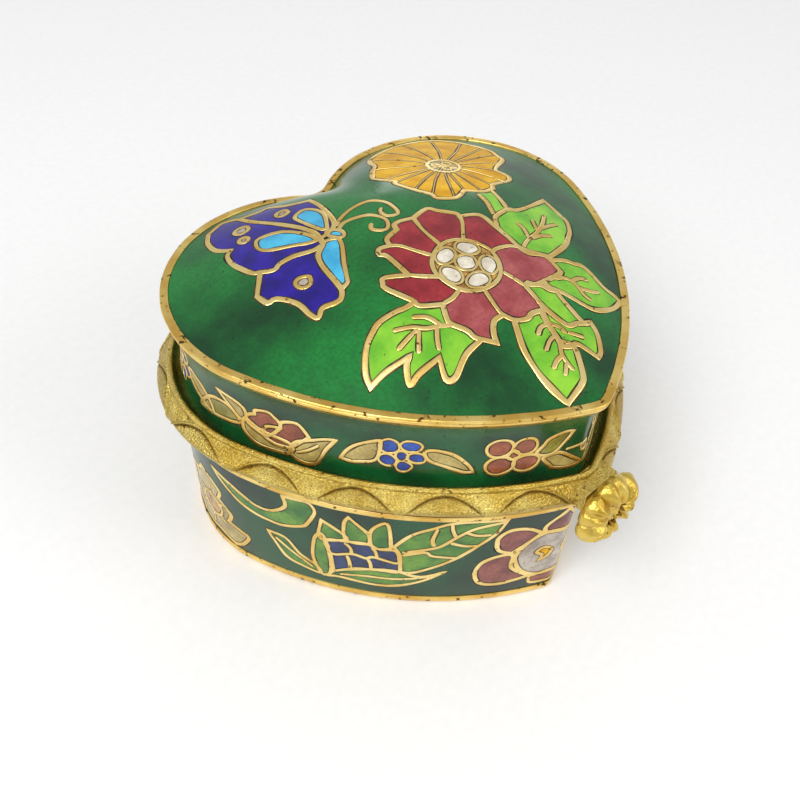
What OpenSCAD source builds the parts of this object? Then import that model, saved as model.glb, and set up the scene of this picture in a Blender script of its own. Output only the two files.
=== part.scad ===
// Heart-shaped trinket box: two enamelled copper shells, a cast gold collar, a pin hinge at the cleft and a
// drop clasp with a flower at the tip. The box stands on its foot rim. X is across, the tip points to -Y, and
// the frame's origin is under the middle of the whole object.
// Shapes that follow the outline are given as offsets from the edge of the lid: positive is outwards.

/* [Outline] */
// Half of the lid's width
half_w = 26; // [25:0.5:28]
// Radius of the two lobes
lobe_r = 15.6; // [15:0.2:16.4]
// Distance in Y from the lobes' centres to the centre of the rounded tip
lobe_to_tip = 28.3; // [27.5:0.1:29]
// Radius of the rounded tip
tip_r = 2.7; // [2.7:0.1:3.2]
// Radius of the flanks between lobe and tip
flank_r = 43.8; // [42:0.2:46]
// Radius of the fillet in the cleft
cleft_r = 2.7; // [2.4:0.1:3]

/* [Heights] */
// Underside of the collar, where the lid parts from the base
part_z = 19.4; // [18:0.1:21]
// Gap between the base and the closed lid
part_gap = 0.15; // [0.1:0.05:0.2]
// Underside of the dome's gold edge band
edge_z = 31.7; // [30.5:0.1:33]
// Rise of the dome above the edge band's underside
dome_rise = 6.2; // [5.4:0.1:7]

/* [Base] */
// Offset of the base's wall at the floor
wall_low = -1.5; // [-1.6:0.05:-1.4]
// Offset of the base's wall at the top
wall_high = -0.56; // [-0.7:0.02:-0.5]
// Height of the gold foot rim
foot_h = 1.4; // [1.1:0.1:1.7]
// Height of the gold band and neck at the top of the base
band_h = 3.1; // [2.9:0.1:3.4]
// Height of the plain neck above the bright band, behind the collar
neck_h = 1.8; // [1.6:0.1:2]
// Height that the bezel stands above the base
bezel_h = 1.2; // [0.8:0.1:1.3]

/* [Walls] */
// Thickness of the outer enamel
enamel_t = 0.4; // [0.3:0.05:0.45]
// Thickness of the inner enamel
lining_t = 0.2; // [0.15:0.05:0.25]
// Thickness of the dome's copper plate
plate_t = 0.5; // [0.4:0.05:0.6]

/* [Hinge] */
// Outer radius of the hinge knuckles
knuckle_r = 1.3; // [1.2:0.05:1.4]
// Radius of the hinge pin
pin_r = 0.6; // [0.5:0.05:0.65]
// Length of the whole row of knuckles
hinge_l = 13.2; // [12:0.2:14]
// Length of the lid's knuckle
lid_knuckle_l = 5; // [4.6:0.2:5.4]

/* [Clasp] */
// Outer radius of the flower, over its petals
flower_r = 4.25; // [4:0.05:4.4]
// Number of petals
petals = 6; // [5:1:7]
// Radius of the clasp's pin
clasp_pin_r = 0.4; // [0.35:0.05:0.45]

/* [Hidden] */
$fn = 96;

// Offsets and sizes shared by several parts
flare = 1.75;            // the collar's widest offset
bead_r = 0.6;            // the bead on top of the collar
inner_off = -2.4;        // inside of the base's shell
lid_inner_off = -2.2;    // inside of the lid's side ring
lining_gap = 0.04;       // glaze line between a shell and its lining
running_gap = 0.03;      // radial clearance of a turning pin
knuckle_gap = 0.25;      // end play between knuckles
dome_off = -0.9;         // where the dome's enamel starts
floor_z = 0.6;           // underside of the base's floor
floor_t = 0.6;           // thickness of the base's floor
flower_back = 2.2;       // the flower's back, in front of the lid's edge at the tip
flower_depth = 2.5;      // the flower's depth along Y

// The object is as deep behind its origin as in front of it
front_reach = flower_back + flower_depth;
back_reach = flare + 0.3 + 2*knuckle_r;
tip_cy = (tip_r + front_reach - lobe_to_tip - lobe_r - back_reach)/2;
lobe_cy = tip_cy + lobe_to_tip;
lobe_cx = half_w - lobe_r;
tip_y = tip_cy - tip_r;
hinge_y = lobe_cy + lobe_r + flare + 0.3 + knuckle_r;
hinge_z = part_z - part_gap/2;
base_top = part_z - part_gap;

// Centre of the right flank: its circle holds the lobe's and the tip's, and touches both
to_tip = [-lobe_cx, tip_cy - lobe_cy];
span = norm(to_tip);
along = (pow(flank_r - lobe_r, 2) - pow(flank_r - tip_r, 2) + span*span)/(2*span);
aside = sqrt(pow(flank_r - lobe_r, 2) - along*along);
flank_cx = lobe_cx + (to_tip[0]*along + to_tip[1]*aside)/span;
flank_cy = lobe_cy + (to_tip[1]*along - to_tip[0]*aside)/span;
cleft_cy = lobe_cy + sqrt(pow(lobe_r + cleft_r, 2) - lobe_cx*lobe_cx);

// Angles at which one arc hands over to the next, on the right half
a_lobe = atan2(lobe_cy - flank_cy, lobe_cx - flank_cx);
a_tip = atan2(tip_cy - flank_cy, -flank_cx);
a_cleft = atan2(cleft_cy - lobe_cy, -lobe_cx);

function arc(c, r, a0, a1, n) = [for (i = [0:n - 1]) let (a = a0 + (a1 - a0)*i/n) c + r*[cos(a), sin(a)]];
function mirrored(pts) = [for (p = pts) [-p[0], p[1]]];
function reversed(pts) = [for (i = [len(pts) - 1:-1:0]) pts[i]];

// Right half of the outline at an offset, from the tip up to the cleft
function half_outline(d) = concat(
    arc([0, tip_cy], tip_r + d, -90, a_tip, 3),
    arc([flank_cx, flank_cy], flank_r + d, a_tip, a_lobe, 8),
    arc([lobe_cx, lobe_cy], lobe_r + d, a_lobe, a_cleft, 16),
    arc([0, cleft_cy], cleft_r - d, a_cleft - 180, -90, 4));
function outline(d) = let (right = half_outline(d)) concat(right, [[0, cleft_cy - cleft_r + d]],
    [for (p = mirrored(reversed(right))) if (p[0] < -0.001) p]);
function flat_ring(d, z) = [for (p = outline(d)) [p[0], p[1], z]];

// Faces between m rings of n points each, where the rings run anticlockwise and the outer side comes first
function band_faces(m, n) = [for (k = [0:m - 1]) for (i = [0:n - 1])
    each let (a = k*n + i, b = k*n + (i + 1) % n) [[a, a + n, b + n], [a, b + n, b]]];

// A section in [offset, z], swept round the outline: up its outer side first, then down its inner side
module heart_ring(section) {
    rings = [for (p = section) flat_ring(p[0], p[1])];
    n = len(rings[0]);
    m = len(rings);
    wrap = n*m;
    polyhedron([for (r = rings) for (p = r) p],
        [for (f = band_faces(m, n)) [for (v = f) v % wrap]]);
}

// The same, but closed by flat floors at its first and last points, as a cup
module heart_cup(section) {
    rings = [for (p = section) flat_ring(p[0], p[1])];
    n = len(rings[0]);
    m = len(rings);
    polyhedron([for (r = rings) for (p = r) p],
        concat([[for (i = [0:n - 1]) i]], band_faces(m - 1, n), [[for (i = [n - 1:-1:0]) (m - 1)*n + i]]));
}

module heart_plate(d, z, t) translate([0, 0, z]) linear_extrude(t) polygon(outline(d));

// Outside of the base: it leans in towards the floor along a gentle curve
function wall_off(z) = wall_low + (wall_high - wall_low)*pow(max(z, 0)/part_z, 0.8);
function wall_line(z0, z1, d = 0, n = 4) = [for (i = [0:n]) let (z = z0 + (z1 - z0)*i/n) [wall_off(z) + d, z]];

// Outside of the lid's side, from the seat in the collar up to the seam: a hollow curve
side_low = part_z + 1.4;
side_high = edge_z - 0.45;
function side_off(z) = let (u = (z - side_low)/(side_high - side_low))
    -0.9 - 0.5*sin(180*min(u*0.85, 1)) + 0.6*pow(u, 5);
rim_low = edge_z - 1.43;
function side_line(d = 0, n = 7) =
    [for (i = [0:n]) let (z = side_low + (rim_low - 0.02 - side_low)*i/n) [side_off(z) + d, z]];

// Dome: rings that shrink from the outline at offset d towards the middle and grow rounder as they do
dome_steps = [1, 0.96, 0.89, 0.79, 0.66, 0.5, 0.33, 0.16];
dome_round = 1.5;          // how soon the rings turn from heart to circle
dome_c = [0, lobe_cy - 5.3];
function dome_ring(d, s, z, rise) = let (
        pts = outline(d),
        spokes = [for (p = pts) p - dome_c],
        mean = [for (v = spokes) norm(v)]*[for (v = spokes) 1/len(pts)],
        keep = pow(s, dome_round))
    [for (v = spokes) let (q = dome_c + s*(keep*v + (1 - keep)*mean*v/norm(v)))
        [q[0], q[1], z + rise*pow(1 - pow(s, 2.1), 1.08)]];
function dome_rings(d, z, rise) = [for (s = dome_steps) dome_ring(d, s, z, rise)];
// A closed shell: rings from near the top of the inner dome, over the rim, to near the top of the outer one
module shell_of_rings(rings, inner_top, outer_top) {
    n = len(rings[0]);
    m = len(rings);
    polyhedron(concat([for (r = rings) for (p = r) p],
            [[dome_c[0], dome_c[1], inner_top], [dome_c[0], dome_c[1], outer_top]]),
        concat([for (i = [0:n - 1]) [n*m, i, (i + 1) % n]], band_faces(m - 1, n),
            [for (i = [0:n - 1]) [n*m + 1, (m - 1)*n + (i + 1) % n, (m - 1)*n + i]]));
}

// ---- Base ----
band_z = base_top - band_h;
neck_z = base_top - neck_h;
neck_off = wall_high - 0.25;
foot_in = wall_low - 0.95;
module base_shell() color("peru")
    heart_cup(concat(wall_line(floor_z, band_z, -enamel_t), [[inner_off, band_z], [inner_off, floor_z + floor_t]]));

module base_side_enamel() color("darkgreen")
    heart_ring(concat(wall_line(foot_h, band_z), reversed(wall_line(foot_h, band_z, -enamel_t))));

module base_top_band() color("palegoldenrod")
    difference() {
        heart_ring([[wall_off(band_z) + 0.06, band_z + 0.08], [wall_off(neck_z) + 0.08, neck_z - 0.1],
            [wall_off(neck_z), neck_z], [neck_off, neck_z + 0.05], [neck_off, base_top], [inner_off, base_top],
            [inner_off, band_z], [wall_off(band_z) - 0.02, band_z]]);
        base_leaf_plate();
        stud_block();
    }

module base_foot_rim() color("palegoldenrod")
    heart_ring([[wall_low - 0.35, 0], [wall_low - 0.06, 0.22], [wall_off(0.6) + 0.06, 0.6],
        [wall_off(foot_h) + 0.06, foot_h], [wall_off(foot_h) - enamel_t, foot_h],
        [wall_off(floor_z) - enamel_t, floor_z], [foot_in, floor_z], [foot_in, 0]]);

module base_floor_enamel() color("darkgreen") heart_plate(foot_in - lining_gap, floor_z - 0.3, 0.3);

lining_off = inner_off - lining_gap;
module base_lining() color("mediumturquoise")
    heart_cup([[lining_off, floor_z + floor_t], [lining_off, base_top - 0.3],
        [lining_off - lining_t, base_top - 0.3], [lining_off - lining_t, floor_z + floor_t + lining_t]]);

bezel_off = -1.75;
module base_bezel() color("gold")
    heart_ring([[bezel_off, base_top], [bezel_off, base_top + bezel_h - 0.2],
        [bezel_off - 0.2, base_top + bezel_h], [inner_off, base_top + bezel_h], [inner_off, base_top]]);

// The catch: a tab at the tip of the top band that the clasp's nose snaps under
stud_front = tip_y - 0.65;
module stud_block() translate([-0.9, stud_front, base_top - 0.8]) cube([1.8, 1.75, 0.75]);
module catch_stud() color("gold") stud_block();

// ---- Hinge ----
leaf_t = 0.75;
leaf_top = base_top - 0.05;
module along_x(r, l) translate([-l/2, hinge_y, hinge_z]) rotate([0, 90, 0]) cylinder(r = r, h = l);
module base_leaf_plate()
    translate([0, 0, leaf_top - leaf_t]) linear_extrude(leaf_t) {
        translate([-2.4, cleft_cy - 4]) square([4.8, hinge_y - knuckle_r - 0.3 - cleft_cy + 4]);
        for (side = [-1, 1])
            translate([side > 0 ? 2.3 : -hinge_l/2, hinge_y - knuckle_r - 1.6])
                square([hinge_l/2 - 2.3, 1.3]);
        for (side = [-1, 1])
            translate([side > 0 ? lid_knuckle_l/2 + knuckle_gap : -hinge_l/2, hinge_y - knuckle_r - 0.4])
                square([hinge_l/2 - lid_knuckle_l/2 - knuckle_gap, knuckle_r]);
    }
module base_hinge_leaf() color("darkgoldenrod")
    difference() {
        union() {
            base_leaf_plate();
            difference() {
                along_x(knuckle_r, hinge_l);
                along_x(knuckle_r + 1, lid_knuckle_l + 2*knuckle_gap);
            }
        }
        along_x(pin_r, hinge_l + 2);
    }
module hinge_pin() color("goldenrod") along_x(pin_r, hinge_l + 0.4);

lid_leaf_w = 3.6;
module lid_leaf_web() translate([-lid_leaf_w/2, cleft_cy - cleft_r - 0.6, part_z + 0.15])
    cube([lid_leaf_w, hinge_y - cleft_cy + cleft_r + 0.6, 1]);
module lid_hinge_leaf() color("darkgoldenrod")
    difference() {
        union() {
            lid_leaf_web();
            along_x(knuckle_r, lid_knuckle_l);
        }
        along_x(pin_r + running_gap, lid_knuckle_l + 1);
    }

// ---- Lid ----
plate_rise = dome_rise - enamel_t;
module lid_dome_plate() color("peru")
    shell_of_rings(concat(reversed(dome_rings(lid_inner_off, edge_z, plate_rise - plate_t)),
        dome_rings(dome_off, edge_z, plate_rise)),
        edge_z + plate_rise - plate_t, edge_z + plate_rise);

module lid_dome_enamel() color("darkgreen")
    shell_of_rings(concat(reversed(dome_rings(dome_off, edge_z + 0.02, plate_rise)),
        dome_rings(dome_off, edge_z + enamel_t - 0.05, plate_rise + 0.05)),
        edge_z + 0.02 + plate_rise, edge_z + dome_rise);

module lid_edge_band() color("palegoldenrod")
    heart_ring([[-0.12, edge_z], [0, edge_z + 0.12], [0, edge_z + 0.28], [-0.12, edge_z + enamel_t],
        [dome_off + 0.02, edge_z + enamel_t], [dome_off + 0.02, edge_z]]);

module lid_side_ring() color("peru")
    heart_ring(concat(side_line(-enamel_t), [[side_off(side_high) - enamel_t, side_high], [-1.1, edge_z],
        [lid_inner_off, edge_z], [lid_inner_off, side_low]]));

module lid_side_rim() color("palegoldenrod")
    heart_ring([[side_off(rim_low) + 0.1, rim_low + 0.12], [-0.35, edge_z - 0.7], [-0.12, edge_z - 0.4],
        [-0.1, edge_z - 0.1], [-0.2, edge_z - 0.03], [-1.05, edge_z - 0.03],
        [side_off(side_high) - enamel_t + 0.03, side_high], [side_off(rim_low) - enamel_t + 0.03, rim_low],
        [side_off(rim_low) + 0.02, rim_low]]);

module lid_side_enamel() color("darkgreen") heart_ring(concat(side_line(), reversed(side_line(-enamel_t + 0.01))));

module lid_lining() color("mediumturquoise") {
    outer = lid_inner_off - lining_gap;
    inner = outer - lining_t;
    rise = plate_rise - plate_t - 0.05;
    shell_of_rings(concat(reversed(dome_rings(inner, edge_z, rise - lining_t)), [flat_ring(inner, side_low)],
        [flat_ring(outer, side_low)], dome_rings(outer, edge_z, rise)),
        edge_z + rise - lining_t, edge_z + rise);
}

// Collar: a cast skirt with a full lower edge and a bead on top, close to the lid's side, which stands on
// its inner ledge.
collar_inner = -1.35;
bead_z = part_z + 2.6;
bead_off = 0.1;
clasp_slot_w = 2.1;
lug_w = 4.8;
lug_z = part_z;
lug_h = 2.6;
lug_front = tip_y - 1.8;
lug_back = tip_y + 0.6;
lug_slot_back = tip_y + 0.25;
clasp_y = tip_y - 0.9;
clasp_z = part_z + 1.2;
module clasp_axis(r, l) translate([-l/2, clasp_y, clasp_z]) rotate([0, 90, 0]) cylinder(r = r, h = l);
module lug_block(front = lug_front) translate([-lug_w/2, front, lug_z]) cube([lug_w, lug_back - front, lug_h]);
module lid_collar() color("goldenrod")
    difference() {
        heart_ring(concat(
            [[collar_inner, part_z], [1, part_z], [flare - 0.15, part_z + 0.45], [flare, part_z + 0.85],
                [flare - 0.1, part_z + 1.3], [flare - 0.5, part_z + 1.95]],
            [for (a = [-20:27.15:170]) [bead_off + bead_r*cos(a), bead_z + bead_r*sin(a)]],
            [[bead_off - bead_r, bead_z - 0.35], [side_off(side_low) + 0.05, bead_z - 0.8],
                [side_off(side_low) + 0.05, side_low], [collar_inner, side_low]]));
        lug_block(lug_front - 1);
        lid_leaf_web();
    }
module lid_clasp_lug() color("goldenrod")
    difference() {
        lug_block();
        translate([-clasp_slot_w/2, lug_front - 1, lug_z - 1])
            cube([clasp_slot_w, lug_slot_back - lug_front + 1, clasp_z + 1 - lug_z + 1]);
        clasp_axis(clasp_pin_r, lug_w + 4);
    }
module clasp_pin() color("goldenrod") clasp_axis(clasp_pin_r, lug_w - 0.1);

// ---- Clasp ----
tongue_w = 1.9;
tongue_r = 0.9;
flower_y = tip_y - flower_back;
flower_z = part_z;
bar_t = 1;
nose_low = part_z - 2;
module clasp_tongue() color("goldenrod")
    difference() {
        union() {
            clasp_axis(tongue_r, tongue_w);
            translate([-tongue_w/2, flower_y, clasp_z - tongue_r])
                cube([tongue_w, clasp_y - flower_y, tongue_r + 0.4]);
            translate([-tongue_w/2, flower_y, nose_low]) cube([tongue_w, bar_t, clasp_z - nose_low]);
            translate([-tongue_w/2, flower_y, nose_low])
                cube([tongue_w, stud_front - 0.1 - flower_y, 0.85]);
        }
        clasp_axis(clasp_pin_r + running_gap, tongue_w + 1);
    }

petal_r = 1.65;
boss_r = 1.3;
module at_flower(y) translate([0, flower_y - y, flower_z]) rotate([90, 0, 0]) children();
module clasp_flower() color("gold")
    difference() {
        union() {
            at_flower(0) cylinder(r = flower_r - petal_r, h = 1.6);
            for (i = [0:petals - 1])
                at_flower(0.6) rotate([0, 0, 90 + 180/petals + i*360/petals])
                    translate([flower_r - petal_r, 0, 0]) sphere(r = petal_r);
        }
        translate([-6, flower_y, flower_z - 6]) cube(12);
        at_flower(0.9) cylinder(r = boss_r, h = 4);
    }
module clasp_flower_centre() color("gold")
    intersection() {
        at_flower(0.9) cylinder(r = boss_r, h = flower_depth - 0.9);
        at_flower(0.85) sphere(r = flower_depth - 0.85);
    }

base_shell();
base_side_enamel();
base_top_band();
base_foot_rim();
base_floor_enamel();
base_lining();
base_bezel();
catch_stud();
base_hinge_leaf();
hinge_pin();
lid_dome_plate();
lid_dome_enamel();
lid_edge_band();
lid_side_ring();
lid_side_rim();
lid_side_enamel();
lid_lining();
lid_collar();
lid_clasp_lug();
lid_hinge_leaf();
clasp_pin();
clasp_tongue();
clasp_flower();
clasp_flower_centre();
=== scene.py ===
"""A heart-shaped trinket box in partitioned enamel: its looks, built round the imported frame.

Shapes are given in millimetres and turned into metres where a mesh is made.
"""
import math

import bpy
import numpy as np
from mathutils import Matrix, Vector
from mathutils.geometry import delaunay_2d_cdt

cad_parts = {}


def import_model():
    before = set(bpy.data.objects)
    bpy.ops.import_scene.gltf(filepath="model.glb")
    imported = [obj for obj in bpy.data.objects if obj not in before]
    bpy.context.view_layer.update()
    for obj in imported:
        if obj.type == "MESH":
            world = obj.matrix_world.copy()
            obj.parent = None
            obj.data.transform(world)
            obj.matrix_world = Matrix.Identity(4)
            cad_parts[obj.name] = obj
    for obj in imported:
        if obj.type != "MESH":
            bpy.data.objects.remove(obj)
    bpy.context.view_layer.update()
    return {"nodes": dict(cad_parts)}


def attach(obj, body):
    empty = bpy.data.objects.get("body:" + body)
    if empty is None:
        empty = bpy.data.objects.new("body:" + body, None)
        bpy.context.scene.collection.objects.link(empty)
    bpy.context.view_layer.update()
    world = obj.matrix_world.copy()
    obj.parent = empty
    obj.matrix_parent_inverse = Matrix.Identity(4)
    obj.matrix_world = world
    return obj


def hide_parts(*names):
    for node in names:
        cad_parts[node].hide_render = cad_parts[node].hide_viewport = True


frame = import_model()

MM = 0.001

# ---- The heart's outline, as in the CAD: tip, flank, lobe and cleft arcs on each half ----
HALF_W, LOBE_R, TIP_R, FLANK_R, CLEFT_R = 26.0, 15.6, 2.7, 43.8, 2.7
LOBE_TO_TIP = 28.3
TIP_CY = -20.575
LOBE_CY = TIP_CY + LOBE_TO_TIP
LOBE_CX = HALF_W - LOBE_R
CLEFT_CY = LOBE_CY + math.sqrt((LOBE_R + CLEFT_R) ** 2 - LOBE_CX ** 2)
EDGE_Z = 31.7
PART_Z = 19.4


def flank_centre():
    """Centre of the right flank's arc, which touches both the lobe's circle and the tip's."""
    to_tip = np.array([-LOBE_CX, -LOBE_TO_TIP])
    span = np.hypot(*to_tip)
    r_lobe, r_tip = FLANK_R - LOBE_R, FLANK_R - TIP_R
    along_it = (r_lobe ** 2 - r_tip ** 2 + span ** 2) / (2 * span)
    aside = math.sqrt(r_lobe ** 2 - along_it ** 2)
    unit = to_tip / span
    return np.array([LOBE_CX, LOBE_CY]) + along_it * unit + aside * np.array([unit[1], -unit[0]])


def outline_arcs():
    """(centre, radius, first angle, last angle, side) of the right half's arcs, from the tip to the cleft."""
    flank = flank_centre()
    a_lobe = math.atan2(LOBE_CY - flank[1], LOBE_CX - flank[0])
    a_tip = math.atan2(TIP_CY - flank[1], -flank[0])
    a_cleft = math.atan2(CLEFT_CY - LOBE_CY, -LOBE_CX)
    return [
        ((0, TIP_CY), TIP_R, -math.pi / 2, a_tip, 1),
        (tuple(flank), FLANK_R, a_tip, a_lobe, 1),
        ((LOBE_CX, LOBE_CY), LOBE_R, a_lobe, a_cleft, 1),
        ((0, CLEFT_CY), CLEFT_R, a_cleft - math.pi, -math.pi / 2, -1),
    ]


ARCS = outline_arcs()
ARC_LENGTHS = [abs(b - a) * r for _, r, a, b, _ in ARCS]
HALF_L = sum(ARC_LENGTHS)


def along(s, offset=0.0):
    """Points and outward normals at arc length s from the tip (+ right, - left), moved out by offset."""
    s = np.asarray(s, float)
    offset = np.broadcast_to(np.asarray(offset, float), s.shape)
    t = np.minimum(np.abs(s), HALF_L)
    x, y, nx, ny = (np.zeros_like(t) for _ in range(4))
    start = 0.0
    for (centre, radius, first, last, side), length in zip(ARCS, ARC_LENGTHS):
        here = (t >= start - 1e-9) & (t <= start + length + 1e-9)
        angle = first + (last - first) * np.clip((t[here] - start) / length, 0, 1)
        reach = radius + side * offset[here]
        x[here] = centre[0] + reach * np.cos(angle)
        y[here] = centre[1] + reach * np.sin(angle)
        nx[here] = side * np.cos(angle)
        ny[here] = side * np.sin(angle)
        start += length
    mirror = np.where(s < 0, -1, 1)
    return x * mirror, y, nx * mirror, ny


# ---- Surfaces that carry enamel: each turns (u, v) in mm into points and normals ----
DOME_OFF = -0.9
DOME_CENTRE = np.array([0.0, LOBE_CY - 5.3])
DOME_ROUND = 1.5
DOME_Z0 = EDGE_Z + 0.35
DOME_RISE = 5.85


def dome_rim_table():
    """Distance from the dome's centre to its rim against the angle, and the mean distance."""
    x, y, _, _ = along(np.linspace(-HALF_L, HALF_L, 4001), DOME_OFF)
    angle = np.arctan2(y - DOME_CENTRE[1], x - DOME_CENTRE[0])
    reach = np.hypot(x - DOME_CENTRE[0], y - DOME_CENTRE[1])
    order = np.argsort(angle)
    return angle[order], reach[order], reach.mean()


RIM_ANGLE, RIM_REACH, RIM_MEAN = dome_rim_table()


def dome_height(x, y):
    """The dome's rings shrink from the heart to a circle: finds the ring through (x, y), then its height."""
    dx, dy = x - DOME_CENTRE[0], y - DOME_CENTRE[1]
    reach = np.hypot(dx, dy)
    rim = np.interp(np.arctan2(dy, dx), RIM_ANGLE, RIM_REACH, period=2 * math.pi)
    low, high = np.zeros_like(reach), np.full_like(reach, 1.3)
    for _ in range(40):
        mid = (low + high) / 2
        keep = mid ** DOME_ROUND
        inside = mid * (keep * rim + (1 - keep) * RIM_MEAN) < reach
        low = np.where(inside, mid, low)
        high = np.where(inside, high, mid)
    swell = 1 - ((low + high) / 2) ** 2.1
    return DOME_Z0 + DOME_RISE * np.sign(swell) * np.abs(swell) ** 1.08


def dome_surface(u, v):
    """The dome's points and normals, where u and v are plain x and y."""
    u, v = np.asarray(u, float), np.asarray(v, float)
    d = 0.05
    slope_x = (dome_height(u + d, v) - dome_height(u - d, v)) / (2 * d)
    slope_y = (dome_height(u, v + d) - dome_height(u, v - d)) / (2 * d)
    normal = np.stack([-slope_x, -slope_y, np.ones_like(u)], -1)
    normal /= np.linalg.norm(normal, axis=1, keepdims=True)
    return np.stack([u, v, dome_height(u, v)], -1), normal


def wall_off(z):
    """Offset of the base's wall at a height: it leans in towards the foot."""
    return -1.5 + 0.94 * (np.maximum(z, 0) / PART_Z) ** 0.8


SIDE_LOW = PART_Z + 1.4
SIDE_HIGH = EDGE_Z - 0.45


def side_off(z):
    """Offset of the lid's hollow side at a height: it flares out to the rim."""
    u = (np.asarray(z, float) - SIDE_LOW) / (SIDE_HIGH - SIDE_LOW)
    return -0.9 - 0.5 * np.sin(math.pi * np.clip(u * 0.85, 0, 1)) + 0.6 * np.clip(u, 0, 2) ** 5


def swept_surface(off):
    """A wall that follows the outline at the offset off(z): u is the arc length and v the height."""
    def surface(u, v):
        u, v = np.asarray(u, float), np.asarray(v, float)
        x, y, nx, ny = along(u, off(v))
        lean = (off(v + 0.05) - off(v - 0.05)) / 0.1
        normal = np.stack([nx, ny, -lean], -1)
        normal /= np.linalg.norm(normal, axis=1, keepdims=True)
        return np.stack([x, y, v], -1), normal
    return surface


# Levels over the CAD surface: the wires are a hair proud of the enamel and nothing rises past the CAD
ENAMEL_LIFT = -0.07
ENAMEL_THICK = 0.36
# Top of the flat dark strip of painted shade beside each wire
WIRE_SHADE_LIFT = -0.06
WIRE_FOOT_LIFT = -0.08
WIRE_TOP_LIFT = -0.025


# ---- Curves through given points ----
def smooth(points, closed, step=0.3):
    """A curve through (u, v) points; a third value marks a corner."""
    places = [np.array(p[:2], float) for p in points]
    corner = [len(p) > 2 for p in points]
    n = len(places)
    out = []
    for i in range(n if closed else n - 1):
        j = (i + 1) % n
        a, b = places[i], places[j]
        before = a if corner[i] or (not closed and i == 0) else places[i - 1]
        after = b if corner[j] or (not closed and j == n - 1) else places[(j + 1) % n]
        leave, arrive = (b - before) / 2, (after - a) / 2
        pieces = max(2, math.ceil(np.hypot(*(b - a)) / step))
        for k in range(pieces):
            t = k / pieces
            out.append((2 * t ** 3 - 3 * t ** 2 + 1) * a + (t ** 3 - 2 * t ** 2 + t) * leave
                       + (3 * t ** 2 - 2 * t ** 3) * b + (t ** 3 - t ** 2) * arrive)
    if not closed:
        out.append(places[-1])
    return np.array(out)


def oval(cu, cv, ru, rv=None, turn=0.0, n=24):
    """Points of an ellipse; turn is in degrees."""
    rv = ru if rv is None else rv
    t = np.linspace(0, 2 * math.pi, n, endpoint=False)
    c, s = math.cos(math.radians(turn)), math.sin(math.radians(turn))
    return [(cu + ru * math.cos(a) * c - rv * math.sin(a) * s,
             cv + ru * math.cos(a) * s + rv * math.sin(a) * c) for a in t]


# ---- Meshes ----
SHARP_ANGLE = math.radians(48)


def new_object(name, vertices, faces, materials, face_material=None):
    """Makes an object from points in mm; face_material gives each face's place in materials."""
    mesh = bpy.data.meshes.new(name)
    mesh.from_pydata((np.asarray(vertices) * MM).tolist(), [], faces)
    for material in materials:
        mesh.materials.append(material)
    if face_material is not None:
        mesh.polygons.foreach_set("material_index", np.asarray(face_material, dtype=np.int32))
    mesh.polygons.foreach_set("use_smooth", [True] * len(mesh.polygons))
    mesh.validate()
    mesh.set_sharp_from_angle(angle=SHARP_ANGLE)
    mesh.update()
    piece = bpy.data.objects.new(name, mesh)
    bpy.context.scene.collection.objects.link(piece)
    return piece


def sweep(name, profile, materials, stations=480, bands=None, bend=None):
    """Sweeps a closed profile of (offset, z) round the outline.

    bands gives the material of each edge of the profile, and bend may move each point: it takes the arc
    length, the offset, z and the point's place in the profile, and returns a new offset and z.
    """
    s = np.linspace(-HALF_L, HALF_L, stations, endpoint=False)
    n = len(profile)
    points = np.zeros((stations, n, 3))
    for j, (offset, z) in enumerate(profile):
        o, h = np.full(stations, float(offset)), np.full(stations, float(z))
        if bend is not None:
            o, h = bend(s, o, h, j)
        x, y, _, _ = along(s, o)
        points[:, j] = np.stack([x, y, h], -1)
    faces, owner = [], []
    for i in range(stations):
        k = (i + 1) % stations
        for j in range(n):
            m = (j + 1) % n
            faces.append((i * n + j, k * n + j, k * n + m, i * n + m))
            owner.append(0 if bands is None else bands[j])
    return new_object(name, points.reshape(-1, 3), faces, materials, owner)


def counterclockwise(loop):
    """The loop, turned round if it runs clockwise."""
    u, v = loop[:, 0], loop[:, 1]
    area = (u * np.roll(v, -1) - np.roll(u, -1) * v).sum()
    return loop if area > 0 else loop[::-1]


def enamel_sheet(name, surface, domain, fills, grid, materials):
    """Lays enamel on a surface as one closed sheet, cut along every motif.

    domain is the sheet's outline in (u, v). fills holds (outline, place in materials) pairs, where a later
    one lies over an earlier one, and materials[0] is the ground colour.
    """
    vertices = [tuple(p) for p in domain]
    polygons = [list(range(len(domain)))]
    for loop, _ in fills:
        loop = counterclockwise(loop)
        polygons.append(list(range(len(vertices), len(vertices) + len(loop))))
        vertices += [tuple(p) for p in loop]
    vertices += [tuple(p) for p in grid]
    points, _, triangles, _, _, owners = delaunay_2d_cdt(
        [Vector(p) for p in vertices], [], polygons, 1, 1e-4)
    uv = np.array([tuple(p) for p in points])
    inside = [(tri, max(own)) for tri, own in zip(triangles, owners) if 0 in own]
    place, normal = surface(uv[:, 0], uv[:, 1])
    n = len(uv)
    outer, inner = place + normal * ENAMEL_LIFT, place - normal * ENAMEL_THICK
    colour_of = [0] + [key for _, key in fills]
    faces, owner, rim = [], [], {}
    for tri, own in inside:
        tri = list(tri)
        a, b, c = uv[tri]
        if (b[0] - a[0]) * (c[1] - a[1]) - (b[1] - a[1]) * (c[0] - a[0]) < 0:
            tri.reverse()
        faces.append(tuple(tri))
        faces.append(tuple(n + i for i in reversed(tri)))
        owner += [colour_of[own], 0]
        for i, j in zip(tri, tri[1:] + tri[:1]):
            if (j, i) in rim:
                del rim[(j, i)]
            else:
                rim[(i, j)] = True
    for i, j in rim:
        faces.append((j, i, n + i, n + j))
        owner.append(0)
    return new_object(name, np.concatenate([outer, inner]), faces, materials, owner)


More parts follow.
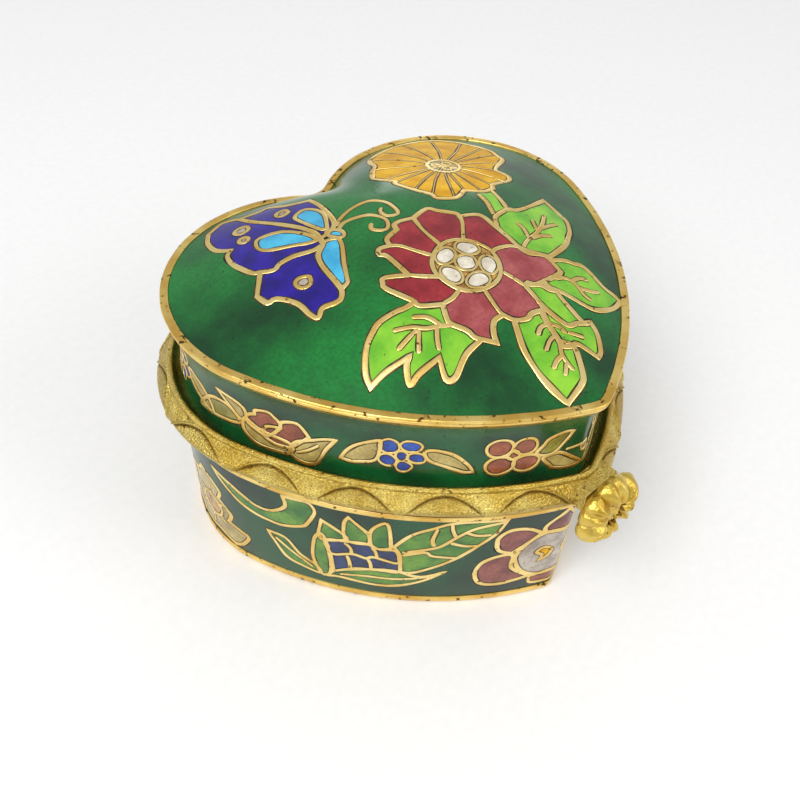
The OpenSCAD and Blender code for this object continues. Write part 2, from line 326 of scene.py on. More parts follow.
def side_steps(line, closed):
    """Mitred sideways directions along a line of (u, v) points."""
    if closed:
        forward = np.roll(line, -1, 0) - line
        back = line - np.roll(line, 1, 0)
    else:
        step = np.diff(line, axis=0)
        forward = np.vstack([step, step[-1:]])
        back = np.vstack([step[:1], step])
    forward = forward / np.maximum(np.linalg.norm(forward, axis=1, keepdims=True), 1e-9)
    back = back / np.maximum(np.linalg.norm(back, axis=1, keepdims=True), 1e-9)
    mean = forward + back
    mean /= np.maximum(np.linalg.norm(mean, axis=1, keepdims=True), 1e-9)
    stretch = 1 / np.clip((mean * forward).sum(1, keepdims=True), 0.6, 1)
    return np.stack([-mean[:, 1], mean[:, 0]], -1) * stretch


WIRE_SECTION = [(-0.5, 0.0), (-0.44, 0.7), (-0.26, 1.0), (0.26, 1.0), (0.44, 0.7), (0.5, 0.0)]
# Section of the flat dark strip of painted shade beside each wire
WIRE_SHADE_SECTION = [(-0.5, 0.0), (-0.5, 1.0), (0.5, 1.0), (0.5, 0.0)]


def ribbons(name, surface, wires, materials, seed):
    """Soldered wires: each lies in a slightly wider dark strip of painted shade, where the enamel meets the
    metal.

    wires holds (points, closed, width). Their width and edges wander a little, as hand-laid wire does.
    """
    rng = np.random.default_rng(seed)
    vertices, faces, owner = [], [], []
    count = 0
    for line, closed, width in wires:
        line = tidy_line(line, closed)
        rounding = 1.0
        if not closed:
            line, rounding = round_ended(line, width / 2)
        side = side_steps(line, closed)
        n = len(line)
        wander = 0.9 * rounding * (1 + 0.13 * wandering(rng, n, 0.3))
        drift = 0.05 * wandering(rng, n, 0.25)
        # The first pass lays the dark strip of painted shade, the second lays the wire on it
        for darkening in (True, False):
            section = WIRE_SHADE_SECTION if darkening else WIRE_SECTION
            spread = width * wander
            if darkening:
                spread = (width + 0.14) * rounding * (1 + 0.15 * wandering(rng, n, 0.4))
            foot = WIRE_FOOT_LIFT - 0.03 * darkening
            top = WIRE_SHADE_LIFT if darkening else WIRE_TOP_LIFT
            rings = np.zeros((n, len(section), 3))
            for j, (across, up) in enumerate(section):
                at = line + side * (across * spread + drift)[:, None]
                place, normal = surface(at[:, 0], at[:, 1])
                rings[:, j] = place + normal * (foot + (top - foot) * up)
            m = len(section)
            vertices.append(rings.reshape(-1, 3))
            for i in range(n if closed else n - 1):
                k = (i + 1) % n
                for j in range(m):
                    q = (j + 1) % m
                    faces.append((count + i * m + j, count + i * m + q, count + k * m + q, count + k * m + j))
                    owner.append(1 if darkening else 0)
            if not closed:
                faces.append(tuple(count + j for j in reversed(range(m))))
                faces.append(tuple(count + (n - 1) * m + j for j in range(m)))
                owner += [1 if darkening else 0] * 2
            count += n * m
    return new_object(name, np.vstack(vertices), faces, materials, owner)


def tidy_line(line, closed):
    """Drops points that lie on top of the one before."""
    keep = [0]
    for i in range(1, len(line)):
        if np.hypot(*(line[i] - line[keep[-1]])) > 0.05:
            keep.append(i)
    if closed and len(keep) > 2 and np.hypot(*(line[keep[-1]] - line[0])) < 0.05:
        keep.pop()
    return line[keep]


def round_ended(line, reach):
    """Adds close points at both ends of an open line, and the width there that makes the ends round."""
    length = np.concatenate([[0], np.cumsum(np.hypot(*np.diff(line, axis=0).T))])
    total = length[-1]
    close = reach * np.array([0, 0.1, 0.35, 0.7, 1.0])
    middle = length[(length > reach * 1.2) & (length < total - reach * 1.2)]
    at = np.concatenate([close, middle, total - close[::-1]])
    gap = np.clip(np.minimum(at, total - at) / reach, 0, 1)
    width = np.maximum(np.sqrt(1 - (1 - gap) ** 2), 0.12)
    return np.stack([np.interp(at, length, line[:, 0]), np.interp(at, length, line[:, 1])], -1), width


def wandering(rng, n, pace):
    """Smooth noise of about -1 to 1 along n points."""
    phase = rng.uniform(0, 2 * math.pi, 4)
    rate = pace * rng.uniform(0.6, 1.6, 4)
    t = np.arange(n)
    return sum(np.sin(rate[k] * t + phase[k]) for k in range(4)) / 2.5


def grid_points(domain, pitch, margin):
    """A staggered grid of loose points inside an outline, kept clear of its edge."""
    low, high = domain.min(0), domain.max(0)
    rows = np.arange(low[1] + margin, high[1] - margin, pitch * 0.87)
    out = []
    for k, v in enumerate(rows):
        u = np.arange(low[0] + margin + (k % 2) * pitch / 2, high[0] - margin, pitch)
        out.append(np.stack([u, np.full_like(u, v)], -1))
    out = np.vstack(out)
    return out[inside_of(out, domain, margin)]


def inside_of(points, loop, margin):
    """True for points inside a loop and further than margin from it."""
    a, b = loop, np.roll(loop, -1, 0)
    crossings = np.zeros(len(points), int)
    nearest = np.full(len(points), 1e9)
    for (ax, ay), (bx, by) in zip(a, b):
        straddles = (ay > points[:, 1]) != (by > points[:, 1])
        if by != ay:
            crossings += straddles & (points[:, 0] < ax + (points[:, 1] - ay) * (bx - ax) / (by - ay))
        t = ((points[:, 0] - ax) * (bx - ax) + (points[:, 1] - ay) * (by - ay))
        t = np.clip(t / max((bx - ax) ** 2 + (by - ay) ** 2, 1e-12), 0, 1)
        gap = np.hypot(points[:, 0] - ax - t * (bx - ax), points[:, 1] - ay - t * (by - ay))
        nearest = np.minimum(nearest, gap)
    return (crossings % 2 == 1) & (nearest > margin)


# ---- Materials: all procedural, in object coordinates ----
def start_material(name, **settings):
    """A Principled material and its object coordinates; settings name the shader's own sockets."""
    material = bpy.data.materials.new(name)
    material.use_nodes = True
    tree = material.node_tree
    shader = tree.nodes["Principled BSDF"]
    for socket, value in settings.items():
        shader.inputs[socket.replace("_", " ")].default_value = value
    coords = tree.nodes.new("ShaderNodeTexCoord").outputs["Object"]
    return material, tree, shader, coords


def noise(tree, coords, scale, low, high, detail):
    """A noise value spread over 0 to 1 between low and high. Scale is features per metre."""
    texture = tree.nodes.new("ShaderNodeTexNoise")
    texture.inputs["Scale"].default_value = scale
    texture.inputs["Detail"].default_value = detail
    tree.links.new(coords, texture.inputs["Vector"])
    spread = tree.nodes.new("ShaderNodeMapRange")
    spread.inputs["From Min"].default_value = low
    spread.inputs["From Max"].default_value = high
    tree.links.new(texture.outputs["Fac"], spread.inputs["Value"])
    return spread.outputs["Result"]


def blend_colour(tree, factor, first, second):
    """Mixes two colours, each a linear RGB triple or a socket."""
    mix = tree.nodes.new("ShaderNodeMix")
    mix.data_type = "RGBA"
    tree.links.new(factor, mix.inputs[0])
    for socket, colour in ((mix.inputs[6], first), (mix.inputs[7], second)):
        if isinstance(colour, tuple):
            socket.default_value = colour + (1.0,)
        else:
            tree.links.new(colour, socket)
    return mix.outputs[2]


def rescale(tree, factor, low, high):
    """Spreads a 0 to 1 value over low to high."""
    node = tree.nodes.new("ShaderNodeMapRange")
    node.inputs["To Min"].default_value = low
    node.inputs["To Max"].default_value = high
    tree.links.new(factor, node.inputs["Value"])
    return node.outputs["Result"]


def bump(tree, shader, height, strength, distance):
    node = tree.nodes.new("ShaderNodeBump")
    node.inputs["Strength"].default_value = strength
    node.inputs["Distance"].default_value = distance
    tree.links.new(height, node.inputs["Height"])
    tree.links.new(node.outputs["Normal"], shader.inputs["Normal"])


def rgb(*levels):
    """Linear colour from 0-255 display values."""
    return tuple(c / 255 / 12.92 if c <= 10 else ((c / 255 + 0.055) / 1.055) ** 2.4 for c in levels)


def enamel(name, light, dark, cloud=180, specks=0.5, roughness=0.16, index=1.42, coat=0.1):
    """Fired glass enamel: cloudy colour, fine dark pinholes and a polished but faintly wavy face."""
    material, tree, shader, coords = start_material(name, IOR=index, Coat_Weight=coat, Coat_Roughness=0.1)
    clouds = noise(tree, coords, cloud, low=0.36, high=0.64, detail=5.0)
    colour = blend_colour(tree, clouds, dark, light)
    grain = noise(tree, coords, scale=2600, low=0.40, high=0.62, detail=3.0)
    deep = tuple(c * 0.62 for c in dark)
    shade = blend_colour(tree, rescale(tree, grain, 0.35 * specks, 0.0), colour, deep)
    pits = noise(tree, coords, scale=1500, low=0.69, high=0.76, detail=2.0)
    shade = blend_colour(tree, rescale(tree, pits, 0.0, 0.75), shade, tuple(c * 0.25 for c in dark))
    tree.links.new(shade, shader.inputs["Base Color"])
    tree.links.new(rescale(tree, clouds, roughness + 0.08, roughness), shader.inputs["Roughness"])
    waves = noise(tree, coords, scale=420, low=0.2, high=0.8, detail=3.0)
    bump(tree, shader, waves, strength=0.16, distance=0.00012)
    return material


# The brown of the painted shade in sunken relief
RECESS_SHADE_COLOUR = rgb(96, 62, 14)


def gold(name, bright, dull, darkening, pitted, roughness, grain, depth, sand=0.0, recess_shade=False):
    """Gilt metal: brightness that drifts, dark tarnish in its pits, and a cast or drawn grain.

    Sand darkens the low places of the grain. The piece's "hollow" attribute, when asked for, paints shade
    into the sunken parts of its relief.
    """
    material, tree, shader, coords = start_material(name, Metallic=1.0)
    drift = noise(tree, coords, scale=260, low=0.38, high=0.62, detail=4.0)
    colour = blend_colour(tree, drift, dull, bright)
    low = 0.66 - 0.14 * pitted
    pits = noise(tree, coords, scale=1300, low=low, high=low + 0.07, detail=3.0)
    colour = blend_colour(tree, rescale(tree, pits, 0.0, 0.9), colour, darkening)
    relief = noise(tree, coords, grain, low=0.25, high=0.75, detail=5.0)
    if sand:
        colour = blend_colour(tree, rescale(tree, relief, sand, 0.0), colour, darkening)
    if recess_shade:
        # Painted shade: the sunken parts of the relief are pulled towards a brown
        sunken = tree.nodes.new("ShaderNodeAttribute")
        sunken.attribute_name = "hollow"
        colour = blend_colour(tree, rescale(tree, sunken.outputs["Fac"], 0.0, 0.8), colour, RECESS_SHADE_COLOUR)
    tree.links.new(colour, shader.inputs["Base Color"])
    tree.links.new(rescale(tree, pits, roughness, 0.7), shader.inputs["Roughness"])
    bump(tree, shader, relief, strength=0.5, distance=depth)
    return material


def painted_wire_shade():
    """Painted shade where enamel meets wire: a dark line, brown to black with coppery spots."""
    material, tree, shader, coords = start_material("painted_wire_shade", Metallic=0.35)
    spots = noise(tree, coords, scale=1100, low=0.42, high=0.62, detail=3.0)
    colour = blend_colour(tree, spots, rgb(28, 24, 10), rgb(92, 66, 26))
    tree.links.new(colour, shader.inputs["Base Color"])
    tree.links.new(rescale(tree, spots, 0.6, 0.35), shader.inputs["Roughness"])
    bump(tree, shader, spots, strength=0.4, distance=0.00006)
    return material


def floor_material():
    """Matt white paper with a faint tooth."""
    material, tree, shader, coords = start_material("paper_floor", Roughness=0.9)
    shade = noise(tree, coords, scale=900, low=0.2, high=0.8, detail=3.0)
    paper = blend_colour(tree, shade, (0.86, 0.86, 0.86), (0.9, 0.9, 0.9))
    tree.links.new(paper, shader.inputs["Base Color"])
    bump(tree, shader, shade, strength=0.1, distance=0.00005)
    return material


GREEN = enamel("green_dome", rgb(20, 120, 48), rgb(2, 58, 24), cloud=90, specks=0.7)
GREEN_SIDE = enamel("green_side", rgb(16, 92, 44), rgb(3, 44, 24), cloud=120)
GREEN_BASE = enamel("green_base", rgb(14, 78, 42), rgb(4, 38, 26), cloud=120, specks=0.8)
LEAF = enamel("leaf_green", rgb(144, 204, 56), rgb(98, 172, 40), cloud=300, specks=0.3)
LEAF_DULL = enamel("leaf_dull", rgb(108, 152, 52), rgb(46, 104, 38), cloud=300, specks=0.8)
OLIVE = enamel("leaf_olive", rgb(158, 150, 66), rgb(118, 110, 46), cloud=420, specks=1.0)
RED = enamel("petal_red", rgb(160, 48, 54), rgb(128, 30, 38), cloud=420, specks=0.8)
PINK = enamel("petal_pink", rgb(172, 88, 88), rgb(146, 58, 62), cloud=420, specks=0.8)
VIOLET = enamel("wing_violet", rgb(40, 20, 150), rgb(24, 10, 112), cloud=500, specks=0.4)
CYAN = enamel("wing_cyan", rgb(76, 186, 222), rgb(54, 156, 200), cloud=500, specks=0.3)
YELLOW = enamel("petal_yellow", rgb(236, 186, 20), rgb(208, 150, 12), cloud=380, roughness=0.3, index=1.15,
                coat=0.0)
BROWN = enamel("divider_brown", rgb(104, 62, 14), rgb(58, 34, 8), cloud=380, index=1.15, coat=0.0)
WHITE = enamel("white_enamel", rgb(232, 226, 208), rgb(196, 186, 164), cloud=700, specks=0.6)
OCHRE = enamel("ochre_enamel", rgb(206, 158, 76), rgb(118, 72, 30), cloud=900, specks=1.0)
TAN = enamel("leaf_tan", rgb(192, 172, 104), rgb(150, 128, 66), cloud=420, specks=1.0)
RUST = enamel("bud_rust", rgb(160, 88, 56), rgb(120, 58, 38), cloud=420, specks=1.0)
BLUE = enamel("petal_blue", rgb(44, 86, 178), rgb(24, 52, 128), cloud=420, specks=0.8)
NAVY = enamel("scale_navy", rgb(36, 58, 110), rgb(20, 32, 66), cloud=500, specks=0.8)
ROSE = enamel("petal_rose", rgb(150, 84, 72), rgb(108, 52, 48), cloud=420, specks=1.0)
PEARL = enamel("petal_pearl", rgb(196, 186, 172), rgb(146, 130, 118), cloud=420, specks=0.8)
LINING = enamel("lining_blue", rgb(96, 176, 196), rgb(58, 140, 170), cloud=220)

WIRE = gold("wire_gold", rgb(252, 228, 156), rgb(232, 196, 112), rgb(110, 74, 28),
            pitted=0.12, roughness=0.38, grain=1500, depth=0.00003)
RIM = gold("rim_gold", rgb(248, 218, 132), rgb(222, 180, 88), rgb(58, 36, 12),
           pitted=0.42, roughness=0.34, grain=1200, depth=0.00004)
SANDY = {"pitted": 0.1, "roughness": 0.3, "grain": 5200, "depth": 0.0003, "sand": 0.75}
SANDY_COLOURS = (rgb(255, 232, 132), rgb(224, 190, 82), rgb(104, 72, 20))
# The collar's gold, with painted shade in its sunken relief
CAST = gold("cast_gold", *SANDY_COLOURS, recess_shade=True, **SANDY)
CAST_PLAIN = gold("plain_gold", *SANDY_COLOURS, **SANDY)
CAST_SHINY = gold("clasp_gold", rgb(232, 204, 104), rgb(194, 160, 62), rgb(70, 46, 10),
                  pitted=0.1, roughness=0.32, grain=4200, depth=0.00007)
# Darker gold for the rings next to the boss: painted shade in the recess round it
BOSS_SHADE_GOLD = gold("clasp_boss_shade", rgb(150, 112, 38), rgb(104, 72, 22), rgb(26, 18, 6),
              pitted=0.5, roughness=0.5, grain=1500, depth=0.00006)
COPPER = gold("copper", rgb(134, 72, 44), rgb(88, 40, 26), rgb(30, 18, 12),
              pitted=0.6, roughness=0.42, grain=900, depth=0.00006)
# Painted shade for the dark strip beside each wire
WIRE_SHADE = painted_wire_shade()


# ---- Motifs. C marks a corner. Points are wire centrelines, in mm ----
C = True
THICK, MIDDLE, FINE = 0.62, 0.5, 0.42
# (flip, direction away from the tip) of the left half, as drawn, and of the right half
BOTH_SIDES = ((False, -1), (True, 1))
# The peony's own middle is half a millimetre left of the tip, so its mirrored petals move by twice that
PEONY_MIRROR = -1.0


class Pattern:
    """Enamel cells and wires for one sheet, in the order they are laid."""

    def __init__(self, ground):
        self.materials = [ground]
        self.fills = []
        self.wires = []
        self.shift, self.flip = 0.0, False

    def place(self, motif, shift, flip):
        """Draws a motif, mirrored about u = 0 if asked, then moved along u."""
        self.shift, self.flip = shift, flip
        motif(self)
        self.shift, self.flip = 0.0, False

    def curve(self, points, closed=True):
        """A smooth curve through a motif's points, at the place where the motif is drawn."""
        side = -1 if self.flip else 1
        return smooth([(side * p[0] + self.shift, *p[1:]) for p in points], closed)

    def key(self, material):
        """The material's place in the sheet's list, added if it is new."""
        if material not in self.materials:
            self.materials.append(material)
        return self.materials.index(material)

    def fill(self, points, material):
        self.fills.append((self.curve(points), self.key(material)))

    def cell(self, points, material, width=MIDDLE):
        """A cell of one colour with a wire all round."""
        self.fill(points, material)
        self.rim(points, width)

    def rim(self, points, width):
        self.wires.append((self.curve(points), True, width))

    def cut(self, points):
        """Drops the stretches of the wires laid so far that a later cell covers."""
        loop = self.curve(points)
        kept = []
        for line, closed, width in self.wires:
            hidden = inside_of(line, loop, 0.12)
            if not hidden.any():
                kept.append((line, closed, width))
                continue
            if closed and not hidden.all():
                first = int(np.argmax(hidden))
                line, hidden = np.roll(line, -first, 0), np.roll(hidden, -first)
            run = []
            for point, gone in [*zip(line, hidden), (None, True)]:
                if not gone:
                    run.append(point)
                    continue
                if len(run) > 2:
                    kept.append((np.array(run), False, width))
                run = []
        self.wires = kept

    def wire(self, points, width=FINE):
        self.wires.append((self.curve(points, False), False, width))


def leaf(p, outline, veins, width=THICK):
    """A bright green cell with wires for its veins."""
    p.cell(outline, LEAF, width)
    for vein in veins:
        p.wire(vein, MIDDLE)


def dome_leaves(p):
    """The five leaves round the red flower, and the yellow flower's stem."""
    p.fill([(9.1, 3.6, C), (8.7, 1.9), (7.6, -0.2), (6.6, -1.4, C), (8, -1.6, C), (10, 0.1), (10.6, 1.6),
            (11.2, 3.6, C)], LEAF)
    p.wire([(9.1, 3.6), (8.7, 1.9), (8, 0.6), (7.6, -0.2)], THICK)
    p.wire([(11.2, 3.6), (10.6, 1.6), (10, 0.1)], THICK)
    leaf(p, [(7.4, -0.7), (9.9, -0.1), (10.7, -0.5), (12.2, -0.5), (15.4, 0), (16.3, 0.2, C), (16.1, -2.3),
             (16, -3.6), (14.9, -5), (13.6, -6), (11.9, -6.9), (8.4, -7.7, C), (7.4, -6.9), (6.2, -5.6),
             (6.1, -4), (6.2, -2.2), (6.7, -1.5)],
         [[(6.6, -5.6), (8.1, -4.9), (10.4, -4.2), (12.2, -3.3), (13.7, -2.2)],
          [(8.4, -4.6), (9, -3.3), (8.9, -2.3)],
          [(10.4, -4.1), (11.2, -2.5)],
          [(8.4, -4.9), (10, -4.9), (11.4, -5.4)],
          [(10.8, -4), (12.5, -3.9), (14, -3.9)]])
    leaf(p, [(8, -8.1, C), (9.8, -8.6), (10.6, -9.3), (11.5, -10), (11.9, -12.6), (12.4, -13.6),
             (12.6, -14.6, C), (10.8, -15.1), (9, -15), (7.8, -14.5), (7, -13.6), (5.8, -11.8),
             (5.1, -11, C), (4.6, -9.4, C), (7, -8.2)],
         [[(6.5, -10.2), (7.7, -10.5), (8.2, -11.1), (8.4, -11.7), (8.3, -12.9), (8.6, -13.7)],
          [(8.2, -11.1), (9.6, -11.1), (10.5, -11.6)],
          [(8.3, -11.9), (9.5, -12.7), (10.6, -13.2)]])
    leaf(p, [(2.4, -9.4, C), (4.2, -10.2), (4.7, -11), (5.3, -11.5), (5.2, -12.7), (5.2, -15.4),
             (6.1, -15.7, C), (4.45, -15.3), (3.2, -14.95), (2.5, -12.5)], [])
    leaf(p, [(6.1, -15.7, C), (5.75, -17), (4.5, -18.6), (3.6, -19, C), (2.7, -17.1), (1.9, -16.9, C),
             (0.8, -16.6), (1.1, -15.3), (1.9, -12.9), (2.5, -11.6, C), (2.6, -13), (3.2, -14.95),
             (4.45, -15.3)],
         [[(1.4, -14), (2.2, -14.9), (2.3, -15.7)],
          [(1, -16), (2, -16.8)],
          [(2.6, -15.6), (3.9, -16.8)]])
    leaf(p, [(-1.2, -11.6, C), (-1.9, -12.9), (-2.9, -15), (-3.2, -17.5), (-3, -20.1), (-2.8, -20.9, C),
             (-0.6, -20.4), (0.4, -19.8), (1.7, -17.9), (1.9, -17, C), (0.9, -16.6), (1.1, -15.3),
             (1.5, -13.45), (2.1, -11.9, C)],
         [[(1.9, -12.7), (1.5, -13.45), (1.1, -15.3), (0.8, -16.2), (0.1, -17.1), (-0.1, -18.1),
           (-0.1, -19)],
          [(1.3, -14), (0.3, -14), (-0.6, -14.5)],
          [(1, -15.3), (0, -15.5), (-1.1, -16.1)],
          [(0.1, -17.3), (-0.9, -17.4), (-1.7, -17.8)],
          [(-0.1, -18), (-1.2, -18.9)]], width=0.7)
    leaf(p, [(-6.6, -4.9, C), (-8.8, -4.7), (-9.9, -4.4), (-11.7, -4.2), (-12.7, -4.4), (-14.2, -5.2),
             (-15.8, -7), (-16.2, -8.2, C), (-14.5, -8.2), (-12.8, -8.5), (-11.8, -8.6, C), (-12.6, -9.1),
             (-13.4, -10.5), (-12.2, -10.4), (-9.8, -10.5, C), (-10.6, -12.3), (-9.8, -12.8), (-7.5, -11.8),
             (-5, -11.7, C), (-4.4, -9), (-5.2, -6.5)],
         [[(-6.5, -9.1), (-7.6, -8.3), (-8.9, -7.6), (-9.9, -6.6), (-11.4, -5.7)],
          [(-7.6, -8.3), (-7.8, -7.5), (-8.2, -6.7), (-9.2, -5.9)],
          [(-9.5, -7.2), (-10.4, -7.2), (-12.3, -7.4)],
          [(-9.5, -7.3), (-10.3, -8.15), (-11, -9)],
          [(-8, -8.2), (-8.7, -9), (-9.4, -10)]])


def red_flower(p):
    """Eight petals round a ring of white cells; the petals at the back are the deeper red."""
    outline = [(-0.2, 3.9, C), (1.7, 4.3), (2.4, 4.1), (2.8, 3.3), (4, 1.9), (3.95, 1.3, C), (4.8, 1.1),
               (5.7, 0.7), (6.2, -0.1), (6.1, -2.3), (6, -5.4, C), (6.4, -6.4), (7.6, -7.1), (8, -8),
               (7.9, -9.7, C), (7, -10), (4, -10), (3.2, -9.5), (2.6, -9.7, C), (2.5, -11.4),
               (2.2, -12.7, C), (0.7, -12.4), (-0.2, -12.6), (-1.4, -12.05), (-1.95, -11.05, C), (-3.1, -11),
               (-4, -11.8), (-4.5, -12.8, C), (-5.4, -11.7), (-5.8, -11.1), (-5.95, -10.2), (-6.8, -8.8),
               (-6.7, -8), (-5.9, -6.7, C), (-7.5, -5.7), (-7.9, -5.2), (-7.95, -4.45), (-8.9, -1.8),
               (-8.7, -1.1), (-8.15, -0.7), (-6.2, -2.05, C), (-6.05, 1.15), (-6.5, 1.9), (-6.3, 2.4),
               (-5.8, 2.6), (-4.9, 2.2, C), (-4.4, 3.2), (-2.75, 3.6, C), (-2.45, 4.3), (-1.65, 4.4)]
    p.cut(outline)
    p.fill(outline, RED)
    front = [(6, -5.4, C), (6.4, -6.4), (7.6, -7.1), (8, -8), (7.9, -9.7, C), (7, -10), (4, -10),
             (3.2, -9.5), (2.6, -9.7, C), (2.5, -11.4), (2.2, -12.7, C), (0.7, -12.4), (-0.2, -12.6),
             (-1.4, -12.05), (-1.95, -11.05, C), (-3.1, -11), (-4, -11.8), (-4.5, -12.8, C), (-5.4, -11.7),
             (-5.95, -10.2), (-6.8, -8.8), (-6.7, -8), (-5.9, -6.7, C), (-4.7, -6.8), (-3.5, -6.5),
             (-0.6, -4.4, C), (2.9, -4.6), (3.6, -4.5), (5.1, -4.8)]
    p.fill(front, PINK)
    p.rim(outline, THICK)
    for divider in ([(-0.2, 3.9), (-0.7, 2), (-0.9, 0.4), (-1, -1)],
                    [(3.95, 1.3), (3.3, 0.15), (1.6, -1.7)],
                    [(6, -5.4), (5.1, -4.8), (3.6, -4.5), (2.9, -4.6)],
                    [(2.6, -9.7), (2.3, -8.6), (1.85, -7.2)],
                    [(-1.95, -11.05), (-1.9, -10), (-1.5, -7.9)],
                    [(-5.9, -6.7), (-4.7, -6.8), (-3.5, -6.5)],
                    [(-6.2, -2.05), (-5.35, -3), (-3.9, -4.2)],
                    [(-4.9, 2.2), (-4.15, 1.5), (-3.6, 0.35), (-2.7, -1.6)]):
        p.wire(divider, MIDDLE)
    p.cell(oval(-0.6, -4.45, 3.45), OCHRE, MIDDLE)
    p.cell(oval(-0.55, -4.3, 1.15, 1.05), WHITE, 0.32)
    for angle in (45, 117, 185, 257, 325):
        a = math.radians(angle)
        p.cell(oval(-0.6 + 2.25 * math.cos(a), -4.45 + 2.25 * math.sin(a), 0.95, 1.28, angle), WHITE, 0.32)


def yellow_flower(p):
    """Narrow petals with brown dividers, round a pale, pitted disc."""
    outline = [(6.5, 18.2), (5.8, 16.8), (4.6, 15.8, C), (2.9, 13.9), (2.9, 13), (3.7, 11, C), (3.3, 10.4),
               (3.7, 8.2), (4.5, 6.2), (4.5, 5.2), (6.3, 4.2), (8.2, 4.8, C), (10, 3.8), (11.7, 3.9, C),
               (12.6, 4.6), (15.1, 4.7), (16.2, 5.6), (16, 7.4, C), (17, 8.2), (19.8, 9.8), (20.3, 11),
               (21, 13), (20, 16.1), (19.5, 17.5), (18, 19.5), (15.5, 20.8), (12.5, 21.3), (9.5, 20.8),
               (7.5, 19.6)]
    p.cell(outline, YELLOW, THICK)
    cu, cv = 11, 11
    for u, v in ((3.4, 12.2), (3.5, 10.7), (3.8, 8), (4.5, 6), (6.2, 4.3), (8.2, 4.8), (10, 3.9),
                 (12.3, 4.5), (14.6, 4.8), (16.1, 7.3), (18.2, 9), (20.4, 11.5), (20.8, 14), (19.8, 16.7),
                 (17.5, 19.7), (14, 21), (10.5, 21), (7.3, 19.4), (4.6, 15.8)):
        spine = [(cu, cv), (cu + 0.55 * (u - cu), cv + 0.5 * (v - cv)), (u, v)]
        reach = math.hypot(u - cu, v - cv)
        du, dv = 0.2 * (v - cv) / reach, -0.2 * (u - cu) / reach
        p.fill([(x - du, y - dv, C) for x, y in spine] + [(x + du, y + dv, C) for x, y in reversed(spine)],
               BROWN)
        p.wire(spine, 0.12)
    p.cell(oval(cu, cv, 1.9), PEARL, MIDDLE)
    for angle in (20, 140, 260):
        a = math.radians(angle)
        p.cell(oval(cu + 0.8 * math.cos(a), cv + 0.8 * math.sin(a), 0.5), OCHRE, 0.28)


def butterfly(p):
    """Violet wings with pale blue cells, a slim body and two curled feelers."""
    lower_edge = [(-9.4, 7.3), (-10.5, 7.5), (-12.2, 8.4), (-13.75, 8.7), (-14.6, 8.5), (-15.7, 9.5, C)]
    p.cell([(-8.6, 19.2), (-7.7, 19.1), (-6.6, 17.2), (-4.6, 15.6, C), (-5.1, 13), (-6, 9.8), (-7, 8.6),
            (-8.9, 8.3, C), (-8.65, 9.8), (-9.35, 13.1), (-10.6, 17.2), (-10.8, 20.1, C)], VIOLET, THICK)
    p.cell(lower_edge + [(-16.7, 8.35), (-17.75, 7.1, C), (-17.6, 5.6), (-16.8, 5.3), (-15.9, 3.2),
                         (-15.75, 1.4), (-15.45, 0.5), (-14.55, 0.95), (-13.3, 0.4), (-12.6, 0.4),
                         (-12, 1.05), (-11.8, 1.9), (-11.4, 4.7), (-10.6, 6.5)], VIOLET, THICK)
    p.cell(lower_edge + [(-16.3, 10.2), (-16.5, 12.9), (-16.1, 14.6), (-15.3, 15.2, C), (-16.1, 16.8),
                         (-15.7, 18.9), (-14.5, 20.6, C), (-12.5, 21.4), (-11.7, 21.2), (-10.8, 20.1),
                         (-10.6, 17.2), (-9.35, 13.1), (-8.65, 9.8), (-8.9, 8.3)], VIOLET, THICK)
    p.cell([(-9.2, 8.3, C), (-9.2, 9.7), (-10.4, 12.7), (-12.4, 13.9), (-13.2, 13.5), (-13.6, 12.5),
            (-13.2, 11.4), (-11.3, 9.8), (-10.2, 8.8)], CYAN)
    p.cell([(-7.85, 13.9), (-6.4, 14.2), (-5.8, 12.95), (-6, 11.3), (-7.4, 9.1, C), (-7.95, 9.7),
            (-8.2, 12.8)], CYAN)
    p.cell([(-8.9, 7.6), (-8, 7.2), (-7.9, 6.3), (-10, 3), (-11, 1.5, C), (-11.8, 1.6), (-11.4, 4.7),
            (-10.6, 6.5), (-9.9, 7.1)], CYAN)
    p.cell(oval(-7.4, 7.7, 1.0, 0.6, -70), CYAN)
    for eye in ((-13.8, 4.8, 0.75), (-13.5, 15.4, 0.5), (-12.4, 17.3, 0.75), (-8.1, 15.9, 0.65)):
        p.cell(oval(*eye), PEARL, MIDDLE)
    p.wire([(-6.6, 8.6), (-5, 9.5), (-2.9, 9.9), (-1.1, 9.5), (-0.2, 7.9), (-0.5, 5.9), (-1.2, 5.6),
            (-1.9, 6.2), (-1.85, 7.1), (-1.3, 7.6)], MIDDLE)
    p.wire([(-6.8, 7.9), (-5.6, 8.4), (-3.4, 7.8), (-2.6, 6.8), (-2.5, 5.4), (-3.5, 4.4), (-4.5, 5.4),
            (-3.9, 6.2)], MIDDLE)


def blue_spray(p):
    """A five-petal blue flower between two long tan leaves, about u = -19.45."""
    for cu, cv, ru, rv in ((-19.45, 25.33, 0.7, 0.62), (-20.75, 26.55, 1.05, 1.0),
                           (-18.55, 26.8, 1.05, 0.85), (-17.95, 25.2, 0.92, 0.72),
                           (-19.2, 23.95, 0.84, 0.72), (-20.88, 24.6, 0.9, 0.82)):
        p.cell(oval(cu, cv, ru, rv), BLUE, 0.32)
    p.cell([(-25.65, 23.85, C), (-25.05, 24.95), (-24.05, 26), (-22.3, 26.95), (-21.65, 26.95), (-22, 24.45),
            (-23.75, 23.75), (-24.8, 23.65)], TAN)
    p.cell([(-17.15, 26.1), (-16.1, 26.4), (-14.2, 25.85), (-12.75, 24.45), (-12.25, 23.5, C), (-13.3, 23.5),
            (-15.3, 24.3), (-16.75, 25.1)], TAN)


